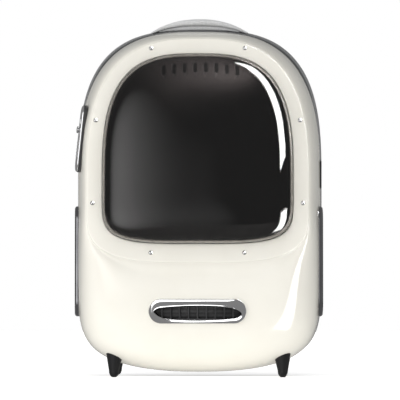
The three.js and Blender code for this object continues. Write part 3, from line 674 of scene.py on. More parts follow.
charcoal_plastic, tree, shader, place = new_finish("charcoal_plastic", {"IOR": 1.47, "Coat Weight": 0.0})
skin = use_group(tree, grain_group, place, Grain=1100.0, Swell=25.0)
marks = use_group(tree, use_marks, place, Patch=30.0, Hair=420.0)
dull = mixed(tree, skin["Tone"], (0.030, 0.030, 0.032), (0.046, 0.046, 0.048))
tree.links.new(mixed(tree, sum_node(tree, "MULTIPLY", marks["Patches"], 0.25), dull, (0.09, 0.088, 0.084)),
               shader["Base Color"])
tree.links.new(spread(tree, marks["Patches"], 0, 1, 0.36, 0.52), shader["Roughness"])
bumped(tree, shader, skin["Height"], 0.0002, 0.5)

# A dark gauze closes each rack from behind: fine round holes, about four to every three millimetres
dark_gauze, tree, shader, place = new_finish("dark_gauze", {"Specular IOR Level": 0.3})
dots = tree.nodes.new("ShaderNodeTexVoronoi")
dots.inputs["Scale"].default_value = 1300.0
dots.inputs["Randomness"].default_value = 0.15
tree.links.new(place, dots.inputs["Vector"])
hole_mask = spread(tree, dots.outputs["Distance"], 0.25, 0.5, 0.0, 1.0)
tree.links.new(mixed(tree, hole_mask, (0.004, 0.004, 0.004), (0.045, 0.045, 0.046)), shader["Base Color"])
tree.links.new(spread(tree, hole_mask, 0, 1, 0.8, 0.55), shader["Roughness"])
bumped(tree, shader, hole_mask, 0.0002, 0.8)

edge_turn = np.linspace(0, np.pi / 2, 9)
rim_section = [(0.0, 0.0)] + [(0.36 * (1 - np.cos(t)), bezel_proud * (0.15 + 0.85 * np.sin(t)))
                              for t in edge_turn]
rim_section += [(0.5, bezel_proud * 0.99), (0.70, bezel_proud * 0.93), (0.80, bezel_proud * 0.84),
                (0.84, bezel_proud * 0.76), (0.87, bezel_proud * 0.90), (0.91, bezel_proud * 0.95),
                (0.95, bezel_proud * 0.88), (0.985, bezel_proud * 0.66), (1.0, bezel_proud * 0.35)]
side_hole = (vent_length - 0.014, vent_width - 0.015, 0.001, 0.0)
rim_holes = {"front_grille": (0.116, 0.019, 0.0042, -0.0022),
             "side_vent_left": side_hole, "side_vent_right": side_hole}
for vent_name, (place, length, height) in vent_places.items():
    rows = rim_rows(place, long_hole(length, height), long_hole(*rim_holes[vent_name]), -0.003, rim_section)
    bezel = skin_mesh(vent_name + "_rim", rows, loop_rows=True)
    # The side vents' rims take the darker plating, painted shade for their dark reflections.
    rim_finish = bright_chrome if vent_name == "front_grille" else chrome_painted_dark
    finish_piece(bezel, "door", "chrome_trim", rim_finish, vent_name + "_bezel")
    rack_length = length - 2 * insert_lap - 2 * seat_gap
    rack_height = height - 2 * insert_lap - 2 * seat_gap
    outer = long_hole(rack_length, rack_height)
    inner = long_hole(rack_length - 2 * rack_frame, rack_height - 2 * rack_frame)
    pieces = [skin_mesh("rack", rim_rows(place, outer, inner, -rack_depth,
                                         [(0.0, -0.0009), (0.35, -0.0006), (0.8, -0.0007), (1.0, -0.0012)]),
                        loop_rows=True)]
    pitch = (rack_length - 2 * rack_frame) / (bar_count + 1)
    for bar in range(bar_count):
        at = pitch * (bar + 1) - (rack_length - 2 * rack_frame) / 2
        pieces.append(rounded_bar("bar", place, (at, 0.0, rack_height / 2 - rack_frame / 2), bar_width * 0.28,
                                  -rack_depth, -0.0006))
    gauze = long_plug(vent_name + "_gauze", place, rack_length - rack_frame, rack_height - rack_frame,
                      gauze_faces)
    finish_piece(gauze, "door", "charcoal_plastic", dark_gauze)
    rack = joined(vent_name + "_rack", pieces)
    finish_piece(rack, "door", "charcoal_plastic", charcoal_plastic, vent_name + "_insert")

# The slide latch on the left wall. A charcoal base plate, a plated frame round a long slot, and a
# plated slider with grip ridges and a round knob that runs in the slot.
latch_length, latch_width, latch_z = 0.089, 0.022, 0.315
latch_y = parting_y - 0.073
latch_plate, latch_frame = 0.002, 0.0044
slot_length, slot_width = 0.062, 0.0125
slider_length, slider_thickness = 0.050, 0.0026
knob_radius, knob_height = 0.0045, 0.0034
ridge_pitch, ridge_proud, ridge_count = 0.0044, 0.0007, 5
latch_place = side_place(latch_y, latch_z, -1)


def capped_slab(name, place, length, height, low, high, round_edge=0.0006, shift=0.0):
    """A slab with an obround outline whose upper edge turns over in a quarter circle."""
    rows = []
    for inset, depth in [(0.0, low)] + [(round_edge * (1 - np.cos(t)), high - round_edge * (1 - np.sin(t)))
                                        for t in np.linspace(0, np.pi / 2, 5)]:
        u, v = long_hole(length - 2 * inset, height - 2 * inset)
        rows.append(set_on(place, u + shift, v, depth))
    u, v = long_hole(length * 0.9, height * 0.6)
    rows.append(set_on(place, u + shift, v, high))
    tips = [set_on(place, shift, 0.0, depth) for depth in (low, high)]
    return skin_mesh(name, np.stack(rows), tips=tips)


base_plate = capped_slab("latch_base", latch_place, latch_length, latch_width, -0.002, latch_plate + seat_gap)
finish_piece(base_plate, "door", "charcoal_plastic", charcoal_plastic, "latch_plate")
frame_low = latch_plate + 2 * seat_gap
frame_high = latch_frame + 2 * seat_gap
frame_section = [(0.0, frame_low + 0.0004)]
frame_section += [(0.28 * (1 - np.cos(t)), frame_low + 0.0004 + (frame_high - frame_low - 0.0004) * np.sin(t))
                  for t in edge_turn]
frame_section += [(0.6, frame_high), (0.8, frame_high - 0.0002), (0.93, frame_high - 0.0005),
                  (1.0, frame_high - 0.001)]
rows = rim_rows(latch_place, long_hole(latch_length - 0.001, latch_width - 0.001),
                long_hole(slot_length, slot_width), frame_low, frame_section)
latch_rim = skin_mesh("latch_rim", rows, loop_rows=True)
finish_piece(latch_rim, "door", "chrome_trim", bright_chrome, "latch_bezel")

slider_low = -slot_length / 2 + 2 * seat_gap
slider_half = slot_width / 2 - 2 * seat_gap
slider_top = frame_low + slider_thickness
slider_pieces = [capped_slab("slider", latch_place, slider_length, 2 * slider_half, frame_low,
                             slider_top, 0.0007, slider_low + slider_length / 2)]
for ridge in range(ridge_count):
    at = slider_low + slot_width / 2 + ridge * ridge_pitch + ridge_pitch / 4
    slider_pieces.append(rounded_bar("ridge", latch_place, (at, 0.0, slider_half * 0.8), ridge_pitch / 4,
                                     frame_low + slider_thickness / 2, slider_top + ridge_proud))
knob_foot = set_on(latch_place, slider_low + slider_length - slot_width / 2 - 0.002, 0.0, slider_top)
knob_profile = [(0.0003, -0.0008), (knob_radius * 0.72, -0.0008), (knob_radius * 0.72, 0.0006),
                (knob_radius * 0.8, 0.001)]
knob_profile += [(knob_radius * (0.86 + 0.14 * np.sin(t)), 0.0012 + 0.0009 * (1 - np.cos(t)))
                 for t in np.linspace(0, np.pi / 2, 4)]
knob_profile += [(knob_radius * (0.72 + 0.28 * np.cos(t)), knob_height - 0.001 + 0.001 * np.sin(t))
                 for t in np.linspace(0, np.pi / 2, 6)]
knob_profile += [(knob_radius * 0.5, knob_height - 0.0002), (0.0004, knob_height - 0.0004)]
slider_pieces.append(turned_piece("knob", knob_profile, knob_foot, latch_place[3], latch_place[1], 48))
slider = joined("latch_slide", slider_pieces)
finish_piece(slider, "latch_slider", "chrome_trim", bright_chrome, "slide_latch")

# Four feet. Tapered rubber plugs with a rounded tip, pressed up into the underside of their half:
# two in the moulded front, two in the tray.
foot_spread = 0.1115
foot_tip, foot_top, foot_nose, foot_seat = 0.0068, 0.0105, 0.0088, 0.0014
front_foot_y, rear_foot_y = parting_y - 0.066, parting_y + 0.062

black_rubber, tree, shader, place = new_finish("black_rubber", {"IOR": 1.5})
skin = use_group(tree, grain_group, place, Grain=1600.0, Swell=40.0)
marks = use_group(tree, use_marks, place, Patch=60.0, Hair=600.0)
height = tree.nodes.new("ShaderNodeSeparateXYZ")
tree.links.new(place, height.inputs[0])
scuff = spread(tree, height.outputs["Z"], 0.0, 0.009, 0.4, 0.03)
dusty = sum_node(tree, "MULTIPLY", scuff, marks["Patches"])
tree.links.new(mixed(tree, dusty, (0.010, 0.010, 0.011), (0.06, 0.058, 0.055)), shader["Base Color"])
tree.links.new(spread(tree, skin["Tone"], 0, 1, 0.42, 0.58), shader["Roughness"])
bumped(tree, shader, skin["Height"], 0.00018, 0.7)


def foot_profile(top):
    """Radius and height: a round-nosed tip with a small flat, then a straight taper up to the shell."""
    tip = [(foot_tip * (0.22 + 0.78 * np.sin(t)), foot_nose * (1 - np.cos(t)))
           for t in np.linspace(0, np.pi / 2, 14)]
    shank = [(foot_tip + (foot_top - foot_tip) * share, foot_nose + (top - foot_nose) * share)
             for share in np.linspace(0.08, 1, 10)]
    return [(0.0005, 0.0)] + tip + shank + [(0.0005, top)]


def wall_height(x, y):
    """Height of the front's underside at a place, found by halving between the floor and the band."""
    low, high = np.full_like(x, 0.004), np.full_like(x, 0.09)
    for halving in range(26):
        half = (low + high) / 2
        below = skin_y(x, half) > y
        low, high = np.where(below, half, low), np.where(below, high, half)
    return half


def seat_foot(foot, middle, top):
    """Leans a foot's shank to the moulding: each height is scaled so that its top, over the same
    bearing, ends a little way inside the wall."""
    points = points_of(foot.data)
    off = points[:, :2] - middle
    bearing = np.arctan2(off[:, 1], off[:, 0])
    rim = np.where(np.hypot(off[:, 0], off[:, 1]) < 0.001, 0.0005, foot_top)
    seat = wall_height(middle[0] + rim * np.cos(bearing), middle[1] + rim * np.sin(bearing)) + foot_seat
    scale = (seat - foot_nose) / (top - foot_nose)
    shank = points[:, 2] - foot_nose
    points[:, 2] = np.where(shank > 0, foot_nose + shank * scale, points[:, 2])
    foot.data.vertices.foreach_set("co", points.ravel())
    foot.data.update()


for side, side_name in ((-1, "left"), (1, "right")):
    for foot_name, y, body in (("front_foot", front_foot_y, "door"), ("rear_foot", rear_foot_y, "carrier")):
        node = f"{foot_name}_{side_name}"
        low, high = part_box(node)
        top = high.z - 0.0006
        middle = np.array([side * foot_spread, y, 0.0])
        foot = turned_piece(node + "_rubber", foot_profile(top), middle, upward, rightward, 48)
        if body == "door":
            seat_foot(foot, middle[:2], top)
        finish_piece(foot, body, "black_rubber", black_rubber, node)

# The seal. One dark rubber ring that stands in the parting line between front and tray.
seal_lip, seal_width, seal_thickness = 0.0008, 0.0045, 0.0028
seal_rows = []
for turn in np.linspace(0, 2 * np.pi, 16, endpoint=False):
    inset = seal_lip + seal_width / 2 - squared_wave(np.cos(turn), 0.6) * seal_width / 2
    back = seat_gap + seal_thickness / 2 + squared_wave(np.sin(turn), 0.6) * seal_thickness / 2
    seal_rows.append(ring_at(edge_line, inset, back, parting_plane))
seal = skin_mesh("parting_seal", np.stack(seal_rows), loop_rows=True)
finish_piece(seal, "carrier", "charcoal_plastic", black_rubber, "seam_gasket")

# The rear half. A stiff foam tray under grey woven polyester: the cloth is stretched over it,
# taped along its rim, and piped where the sides turn into the flat back.
rear_depth, rear_wall = 0.100, 0.004
rear_proud_side, rear_proud_top = 0.0018, 0.0034
rear_corner, rear_draft, rear_swell = 0.034, 0.004, 0.045
rear_rim = seal_thickness + 2 * seat_gap
rear_line = outline(half_width + rear_proud_side, shell_floor, shell_top + rear_proud_top,
                    0.46, 0.549, 3.05, 2.3, 7.9)
rear_back_y = parting_y + rear_depth


def tray_profile(inset, steps):
    """The tray's section as inset and depth: out from the rim to the swell, then a quarter turn."""
    corner = rear_corner - inset
    turn = np.linspace(0, np.pi / 2, steps)
    swell = np.linspace(0, 1, 7)[:-1]
    move_in = np.concatenate([inset + rear_proud_top * (1 - np.sin(swell * np.pi / 2)),
                              inset + rear_draft * np.linspace(0, 1, 4)[:-1],
                              inset + rear_draft + corner * (1 - np.cos(turn))])
    straight = rear_depth - inset - corner
    depth = np.concatenate([rear_rim + (rear_swell - rear_rim) * swell,
                            rear_swell + (straight - rear_swell) * np.linspace(0, 1, 4)[:-1],
                            straight + corner * np.sin(turn)])
    return np.stack([move_in, depth], axis=-1)


def tray_loop(move_in, depth):
    """A loop of the tray's outline moved in, at one depth behind the parting line."""
    return ring_at(rear_line, move_in, depth, parting_plane)


def flat_fill(line_inset, depth, shares):
    """Loops that shrink towards the middle of the tray's flat back."""
    ring = tray_loop(line_inset, depth)
    centre = np.array([0, parting_y + depth, middle_z])
    return [centre + (ring - centre) * share for share in shares]


outer_section = tray_profile(0.0, 14)
inner_section = tray_profile(rear_wall, 10)
tray_rows = flat_fill(outer_section[-1, 0], rear_depth, np.linspace(0.08, 1, 12)[:-1])
tray_rows += [tray_loop(*pair) for pair in outer_section[::-1]]
tray_rows += [tray_loop(rear_proud_top + 0.0012, rear_rim - 0.0004)]
tray_rows += [tray_loop(*pair) for pair in inner_section]
tray_rows += flat_fill(inner_section[-1, 0], rear_depth - rear_wall, np.linspace(0.08, 1, 6)[:-1][::-1])
cloth_tray = skin_mesh("cloth_tray", np.stack(tray_rows), tips=[
    (0, rear_back_y, middle_z), (0, rear_back_y - rear_wall, middle_z)])

# Crossed threads: the height is the larger of two rows of rounded threads, each of which dips
# where the other passes over it; both run along the piece's own map
weave_group, weave_in, weave_out = effect_group("crossed_threads", {"Threads": 1200.0, "Uneven": 0.3},
                                                ("Height", "Gaps", "Slubs"))
axes = weave_group.nodes.new("ShaderNodeSeparateXYZ")
weave_group.links.new(weave_in["Place"], axes.inputs[0])
slub = noise_node(weave_group, weave_in["Place"], 420.0, 2.0)
counts = [sum_node(weave_group, "MULTIPLY", axes.outputs[axis], weave_in["Threads"]) for axis in ("X", "Y")]
turns = [sum_node(weave_group, "MULTIPLY", count, np.pi) for count in counts]
waves = [sum_node(weave_group, "SINE", turn) for turn in turns]
cross = sum_node(weave_group, "MULTIPLY", waves[0], waves[1])
warp = sum_node(weave_group, "MULTIPLY_ADD", cross, 0.5, 0.5)
round_u = sum_node(weave_group, "ABSOLUTE", waves[0])
round_v = sum_node(weave_group, "ABSOLUTE", waves[1])
over = sum_node(weave_group, "MAXIMUM", sum_node(weave_group, "MULTIPLY", round_u, warp),
                sum_node(weave_group, "MULTIPLY", round_v, sum_node(weave_group, "SUBTRACT", 1.0, warp)))
uneven = sum_node(weave_group, "MULTIPLY", slub, weave_in["Uneven"])
weave_group.links.new(sum_node(weave_group, "ADD", over, uneven), weave_out["Height"])
weave_group.links.new(spread(weave_group, over, 0.15, 0.6, 1.0, 0.0), weave_out["Gaps"])
weave_group.links.new(spread(weave_group, slub, 0.35, 0.65, 0.0, 1.0), weave_out["Slubs"])


def woven_finish(name, dark, light, threads, depth, sheen=0.4):
    """A woven cloth on the piece's own map: threads lighter than the gaps between them, with slow
    changes of tone from handling and dust."""
    finish, tree, shader, place = new_finish(name, {"Specular IOR Level": 0.25, "Sheen Weight": sheen,
                                                    "Sheen Roughness": 0.45})
    lengths = tree.nodes.new("ShaderNodeUVMap")
    lengths.uv_map = "cloth"
    threads_out = use_group(tree, weave_group, lengths.outputs[0], Threads=threads, Uneven=0.35)
    marks = use_group(tree, use_marks, place, Patch=12.0, Hair=200.0)
    skin = use_group(tree, grain_group, place, Grain=500.0, Swell=7.0)
    body = mixed(tree, threads_out["Slubs"], light, tuple(0.82 * c for c in light))
    body = mixed(tree, threads_out["Gaps"], body, dark)
    toned = mixed(tree, sum_node(tree, "MULTIPLY", marks["Patches"], 0.3), body,
                  tuple(min(1.0, 1.25 * c + 0.01) for c in light))
    shaded = mixed(tree, sum_node(tree, "MULTIPLY", skin["Tone"], 0.25), toned, dark)
    tree.links.new(shaded, shader["Base Color"])
    tree.links.new(spread(tree, threads_out["Gaps"], 0, 1, 0.78, 0.92), shader["Roughness"])
    bumped(tree, shader, threads_out["Height"], depth, 0.9)
    return finish


grey_cloth = woven_finish("grey_cloth", (0.050, 0.052, 0.054), (0.150, 0.153, 0.157), 900.0, 0.0004)
black_foam = grained_finish("black_foam", {"Specular IOR Level": 0.1}, 420.0, 12.0,
                            (0.002,) * 3, (0.006,) * 3, (0.9, 1.0), (0.0008, 1.0))
finish_piece(cloth_tray, "carrier", "grey_fabric", grey_cloth, "rear_shell")
cloth_tray.data.materials.append(black_foam)
tray_faces = len(cloth_tray.data.polygons)
inner_start = (len(tray_rows) - len(inner_section) - 5) * around
inner_face = np.zeros(tray_faces, np.int32)
inner_face[inner_start:(len(tray_rows) - 1) * around] = 1
inner_face[-around:] = 1
cloth_tray.data.polygons.foreach_set("material_index", inner_face)

# The liner. Black brushed knit on a thin board that lines the tray, with eight upright slots cut
# in a shallow arch high on its back for air.
liner_wall = 0.0016
slot_count, slot_pitch, slot_z, slot_arc = 8, 0.0143, 0.414, 0.0056
slot_breadth, slot_length_up = 0.005, 0.016
liner_outer = tray_profile(rear_wall + seat_gap, 12)
liner_inner = tray_profile(rear_wall + seat_gap + liner_wall, 12)
liner_rows = flat_fill(liner_outer[-1, 0], rear_depth - rear_wall - seat_gap, np.linspace(0.06, 1, 14)[:-1])
liner_rows += [tray_loop(*pair) for pair in liner_outer[::-1]]
liner_rows += [tray_loop(*pair) for pair in liner_inner]
liner_rows += flat_fill(liner_inner[-1, 0], rear_depth - rear_wall - seat_gap - liner_wall,
                        np.linspace(0.06, 1, 14)[:-1][::-1])
knit_liner = skin_mesh("knit_liner", np.stack(liner_rows), tips=[
    (0, rear_back_y - rear_wall - seat_gap, middle_z),
    (0, rear_back_y - rear_wall - seat_gap - liner_wall, middle_z)])
slot_cutters = []
for slot in range(slot_count):
    share = slot - (slot_count - 1) / 2
    slot_at = (np.array([share * slot_pitch, rear_back_y, slot_z - slot_arc * (2 * share / slot_count) ** 2]),
               upward, rightward, backward)
    slot_cutters.append(long_plug(f"slot_cutter_{slot}", slot_at, slot_length_up, slot_breadth,
                                  (-rear_corner, 0.004), 48))
cut_by(knit_liner, slot_cutters)
black_knit = woven_finish("black_knit", (0.004, 0.0035, 0.0035), (0.018, 0.016, 0.016), 650.0, 0.0003, 0.15)
finish_piece(knit_liner, "carrier", "black_liner", black_knit, "cabin_liner")

# The carry handle. An arch of light ribbed webbing: its thin ends are sewn flat to the tray's top,
# and under its full middle a softer roll fills the room down to the tray.
handle_span, handle_width = 0.128, 0.026
handle_rise, handle_full, handle_end = 0.4753, 0.0092, 0.0026
handle_y = parting_y + 0.021


def tray_top(x, y):
    """Height of the tray's top under a point: the arch of its outline, moved in as its section is."""
    move_in = np.interp(y - parting_y, outer_section[:, 1], outer_section[:, 0])
    half, top, high_side, bend = rear_line[0] - move_in, rear_line[2] - move_in, rear_line[4], rear_line[5]
    return high_side + (top - high_side) * np.clip(1 - (np.abs(x) / half) ** bend, 0, 1) ** (1 / bend)


def swept(at, across, width, thick, flat=0.5, columns=40):
    """A strip carried along a path: a flattened round section, half width times the cosine and half
    thickness times the sine of a turn, each to a power that squares its corners. Width and thickness
    are one number or one for each point of the path."""
    width, thick = (np.broadcast_to(size, len(at)) for size in (width, thick))
    along = np.gradient(at, axis=0)
    along /= np.linalg.norm(along, axis=1)[:, None]
    across = across - (across * along).sum(axis=1)[:, None] * along
    across /= np.linalg.norm(across, axis=1)[:, None]
    out = np.cross(along, across)
    turn = (np.arange(columns) + 0.5) / columns * 2 * np.pi
    wide = squared_wave(np.cos(turn), flat)
    high = squared_wave(np.sin(turn), 0.8)
    return (at[:, None] + across[:, None] * (wide * width[:, None] / 2)[..., None]
            + out[:, None] * (high * thick[:, None] / 2)[..., None])


share = np.linspace(-1, 1, 120)
end_z = float(tray_top(handle_span / 2, handle_y)) + 0.0003
arch_z = end_z + (handle_rise - handle_full / 2 - end_z) * (1 - np.abs(share) ** 2.3)
arch = np.stack([share * handle_span / 2, np.full_like(share, handle_y), arch_z], axis=-1)
full = handle_end + (handle_full - handle_end) * (1 - share ** 2)
grid = swept(arch, backward, handle_width, full, columns=56)
rib = 1 + 0.00018 * np.cos(grid[..., 1] * 2 * np.pi / 0.0026) / 0.0046
grid[..., 2] = arch_z[:, None] + (grid[..., 2] - arch_z[:, None]) * rib
grid[..., 2] = np.maximum(grid[..., 2], tray_top(grid[..., 0], grid[..., 1]) + 0.0003)
handle = ended_mesh("webbing_handle", grid)
light_webbing = woven_finish("light_webbing", (0.54, 0.545, 0.55), (0.80, 0.805, 0.81), 620.0, 0.0003)
finish_piece(handle, "carrier", "light_webbing", light_webbing, "carry_handle")
roll_share = np.linspace(-0.84, 0.84, 90)
roll_over = (end_z + (handle_rise - handle_full / 2 - end_z) * (1 - np.abs(roll_share) ** 2.3)
             - (handle_end + (handle_full - handle_end) * (1 - roll_share ** 2)) / 2 + 0.0006)
roll_under = tray_top(roll_share * handle_span / 2, handle_y - 0.006) + 0.0004
roll_full = np.maximum(roll_over - roll_under, 0.0008)
roll_path = np.stack([roll_share * handle_span / 2, np.full_like(roll_share, handle_y),
                      roll_over - roll_full / 2], axis=-1)
roll = swept(roll_path, backward, 0.017, roll_full, 0.5, 28)
palm_roll = ended_mesh("handle_palm_roll", roll)
finish_piece(palm_roll, "carrier", "light_webbing", light_webbing)

# The back pad. Soft foam under grey spacer mesh, sewn down in lobes either side of an air channel
# and edged with a corded seam; it lies on the tray's flat back.
pad_half_x, pad_half_z, pad_thick = 0.118, 0.134, 0.014
pad_z = 0.222
pad_front = rear_back_y + 0.0003
pad_corner = 4.6
pad_around = 180


def pad_loop(inset, y):
    """A loop of the pad's outline: both half sizes to a high power, so its corners are well rounded."""
    turn = np.arange(pad_around) / pad_around * 2 * np.pi
    c, s = np.cos(turn), np.sin(turn)
    radius = ((np.abs(c) / (pad_half_x - inset)) ** pad_corner
              + (np.abs(s) / (pad_half_z - inset)) ** pad_corner) ** (-1 / pad_corner)
    return np.stack([radius * c, np.full(pad_around, y), pad_z + radius * s], axis=-1)


pressure_frames = 20


def swollen(piece, cap, voxel, pinned):
    """A stuffed cover by simulation: remeshed evenly, blown up by a pressure with no gravity for
    some frames while the points nearest the tray are held, and stopped at a cap of movement."""
    remesh = piece.modifiers.new("even", "REMESH")
    remesh.mode = "VOXEL"
    remesh.voxel_size = voxel
    rest = moved = points_of(bake_modifiers(piece))
    held = piece.vertex_groups.new(name="held")
    held.add(np.nonzero(rest[:, 1] < pinned)[0].tolist(), 1.0, "REPLACE")
    cloth = piece.modifiers.new("cover", "CLOTH")
    cloth.settings.use_pressure = True
    cloth.settings.uniform_pressure_force = 4.0
    cloth.settings.vertex_group_mass = "held"
    cloth.settings.effector_weights.gravity = 0
    cloth.point_cache.frame_start, cloth.point_cache.frame_end = 1, pressure_frames
    for step in range(1, pressure_frames + 1):
        bpy.context.scene.frame_set(step)
    moved = points_of(piece.evaluated_get(bpy.context.evaluated_depsgraph_get()).data)
    piece.modifiers.clear()
    bpy.context.scene.frame_set(1)
    shift = moved - rest
    length = np.linalg.norm(shift, axis=1)[:, None]
    rest = rest + shift * np.minimum(1, cap / np.maximum(length, 1e-9))
    piece.data.vertices.foreach_set("co", rest.ravel())
    finer = piece.modifiers.new("finer", "SUBSURF")
    finer.levels = finer.render_levels = 1
    smooth = bake_modifiers(piece)
    smooth.polygons.foreach_set("use_smooth", np.ones(len(smooth.polygons), bool))
    return points_of(smooth)


def flat_map(piece):
    """Maps a piece by its width and height in metres, for its weave."""
    mesh = piece.data
    corner = np.empty(len(mesh.loops), np.int32)
    mesh.loops.foreach_get("vertex_index", corner)
    cloth = mesh.uv_layers.get("cloth") or mesh.uv_layers.new(name="cloth")
    cloth.data.foreach_set("uv", points_of(mesh)[corner][:, [0, 2]].ravel())


pad_rows = [pad_loop(inset, pad_front + 0.0004) for inset in np.linspace(0.105, 0.006, 9)]
pad_rows += [pad_loop(0.002 + 0.0035 * (1 - np.sin(t)), pad_front + 0.0045 - 0.0041 * np.cos(t))
             for t in np.linspace(0.3, np.pi - 0.3, 7)]
pad_rows += [pad_loop(inset, pad_front + 0.0086) for inset in np.linspace(0.008, 0.105, 9)]
pad = skin_mesh("mesh_back_pad", np.stack(pad_rows), tips=[
    (0, pad_front + 0.0004, pad_z), (0, pad_front + 0.0086, pad_z)])
points = swollen(pad, 0.0062, 0.005, pad_front + 0.0015)
high = np.clip((points[:, 1] - pad_front) / 0.009, 0, 1)
across, up = np.abs(points[:, 0]), points[:, 2] - pad_z
lobe_seams = [np.exp(-(across / 0.0085) ** 2), np.exp(-((across - 0.1) / 0.0026) ** 2)]
lobe_seams += [np.exp(-((up - seam + 0.10 * (across - 0.055)) / 0.0026) ** 2)
               * (across < 0.1) for seam in (-0.085, -0.028, 0.028, 0.085)]
points[:, 1] -= high * 0.0046 * np.clip(np.sum(lobe_seams, axis=0), 0, 1)
points[:, 1] = np.clip(points[:, 1], pad_front, pad_front + pad_thick)
pad.data.vertices.foreach_set("co", points.ravel())
flat_map(pad)
spacer_mesh = woven_finish("spacer_mesh", (0.018, 0.019, 0.020), (0.115, 0.118, 0.122), 330.0, 0.0009)
finish_piece(pad, "carrier", "grey_mesh", spacer_mesh, "back_pad")
turn = np.arange(12) / 12 * 2 * np.pi
cord_rows = np.stack([pad_loop(-0.0002 - 0.0017 * np.cos(t) + 0.0022, pad_front + 0.0035 + 0.0017 * np.sin(t))
                      for t in turn])
pad_cord = skin_mesh("pad_edge_cord", cord_rows, loop_rows=True)
black_webbing = woven_finish("black_webbing", (0.006, 0.006, 0.007), (0.034, 0.034, 0.036), 560.0, 0.0006)
finish_piece(pad_cord, "carrier", "black_webbing", black_webbing)

# Shoulder straps. Contoured foam in the same mesh, sewn to the tray at the top and hemmed with a
# corded edge, with a flat webbing strip run down the middle of each.
strap_width, strap_thick, strap_x = 0.062, 0.011, 0.070
strap_top_z, strap_end_z, strap_bow = 0.392, 0.176, 0.024
strap_down = np.array([0, 0.06, 0.15, 0.24, 0.36, 0.54, 0.72, 0.86, 0.95, 1.0])
strap_lift = np.array([0, 0, 1, 1, 1, 1, 1, 1, 1, 1.0])
strap_arc = np.array([0, 0, 0.12, 0.6, 0.9, 1, 0.8, 0.38, 0.02, 0.0])
strap_full = np.array([0.3, 0.4, 0.8, 1, 1, 1, 1, 1, 0.7, 0.6])


def eased_table(down, values, at):
    """Reads a table between its rows and rounds its corners by averaging over a short window."""
    spread_by = np.linspace(-0.018, 0.018, 7)
    return np.mean([np.interp(np.clip(at + shift, 0, 1), down, values) for shift in spread_by], axis=0)


strap_at = np.linspace(0, 1, 110)
strap_thickness = strap_thick * eased_table(strap_down, strap_full, strap_at)
strap_y = (pad_front + eased_table(strap_down, strap_lift, strap_at) * (pad_thick + 0.0003)
           + strap_bow * eased_table(strap_down, strap_arc, strap_at) + strap_thickness / 2)
for side, side_name in ((-1, "left"), (1, "right")):
    path = np.stack([np.full_like(strap_y, side * strap_x), strap_y,
                     strap_top_z - (strap_top_z - strap_end_z) * strap_at], axis=-1)
    width = strap_width * (1 - 0.35 * strap_at)
    grid = swept(path, rightward, width, strap_thickness, 0.5, 64)
    offset = grid - path[:, None]
    across = np.abs(grid[..., 0] - side * strap_x) / (width[:, None] / 2)
    hem = 0.42 * np.exp(-((across - 0.80) / 0.05) ** 2)
    quilt = 0.16 * np.exp(-(((strap_at[:, None] * 7.0) % 1 - 0.5) / 0.06) ** 2) * (across < 0.8)
    offset[..., 1:] *= (1 - hem - quilt)[..., None]
    grid = path[:, None] + offset
    strap = ended_mesh(f"padded_strap_{side_name}", grid)
    finish_piece(strap, "carrier", "grey_mesh", spacer_mesh, f"shoulder_strap_{side_name}")
    lifted = path + backward * (strap_thickness / 2 + 0.0004)[:, None]
    strip = swept(lifted[4:108], rightward, 0.020, 0.0014, 0.35, 24)
    spine = ended_mesh(f"strap_spine_{side_name}", strip)
    finish_piece(spine, "carrier", "black_webbing", black_webbing)

# Webbing and adjusters. Flat woven webbing hangs from the end of each strap, under a moulded
# ladder-lock buckle, and bends in to the foot of the tray's back, where it is sewn down.
webbing_width, webbing_thick = 0.025, 0.0024
webbing_y = pad_front + pad_thick + seat_gap + strap_thick / 2
webbing_top = strap_end_z - 0.0058 - 2 * seat_gap
webbing_foot_z, webbing_foot_x = 0.054, half_width - 0.057
webbing_back_y = pad_front + webbing_thick / 2 + 0.0002
hang_down = np.array([0, 0.1, 0.2, 0.45, 0.74, 0.84, 0.91, 1.0])
hang_out = np.array([0, 0, 0, 0.42, 0.88, 1, 1, 1.0])
hang_back = np.array([0, 0, 0, 0, 0, 0.6, 1, 1.0])
hang_at = np.linspace(0, 1, 90)
hang_x = strap_x + (webbing_foot_x - strap_x) * eased_table(hang_down, hang_out, hang_at)
hang_y = webbing_y + (webbing_back_y - webbing_y) * eased_table(hang_down, hang_back, hang_at)
buckle_turn = np.arange(72) / 72 * 2 * np.pi
buckle_round = squared_wave(np.cos(buckle_turn), 0.4)
buckle_high = squared_wave(np.sin(buckle_turn), 0.4)
buckle_section = [(0.0, 0.0018), (0.12, 0.0028), (0.35, 0.0032),
                  (0.65, 0.0032), (0.88, 0.0028), (1.0, 0.0018)]
for side_name, side in (("left", -1), ("right", 1)):
    hang = np.stack([side * hang_x, hang_y, webbing_top + (webbing_foot_z - webbing_top) * hang_at], axis=-1)
    grid = swept(hang, rightward, webbing_width, webbing_thick, 0.3, 28)
    webbing = ended_mesh(f"strap_webbing_{side_name}", grid)
    finish_piece(webbing, "carrier", "black_webbing", black_webbing, f"webbing_{side_name}")
    place = np.array([side * strap_x, webbing_y, strap_end_z - 0.0128]), -rightward, upward, backward
    rows = rim_rows(place, (buckle_round * 0.0175, buckle_high * 0.012),
                    (buckle_round * 0.0131, buckle_high * 0.007), -0.003, buckle_section)
    buckle = skin_mesh(f"ladder_lock_{side_name}", rows, loop_rows=True)
    finish_piece(buckle, "carrier", "charcoal_plastic", charcoal_plastic, f"adjuster_{side_name}")

# The hinges. Folded steel leaves and their pins in a satin black paint with a fine orange-peel
# skin; the solids from the CAD show as they are.
dark_steel = grained_finish("dark_steel", {"Metallic": 0.4, "Specular IOR Level": 0.5}, 1400.0, 60.0,
                            (0.022, 0.022, 0.024), (0.05, 0.05, 0.053), (0.34, 0.5))
for name in ("hinge_door", "hinge_rear", "hinge_pin"):
    for level in ("lower", "upper"):
        hinge_skins = frame["nodes"][f"{name}_{level}"].data.materials
        hinge_skins.clear()
        hinge_skins.append(dark_steel)

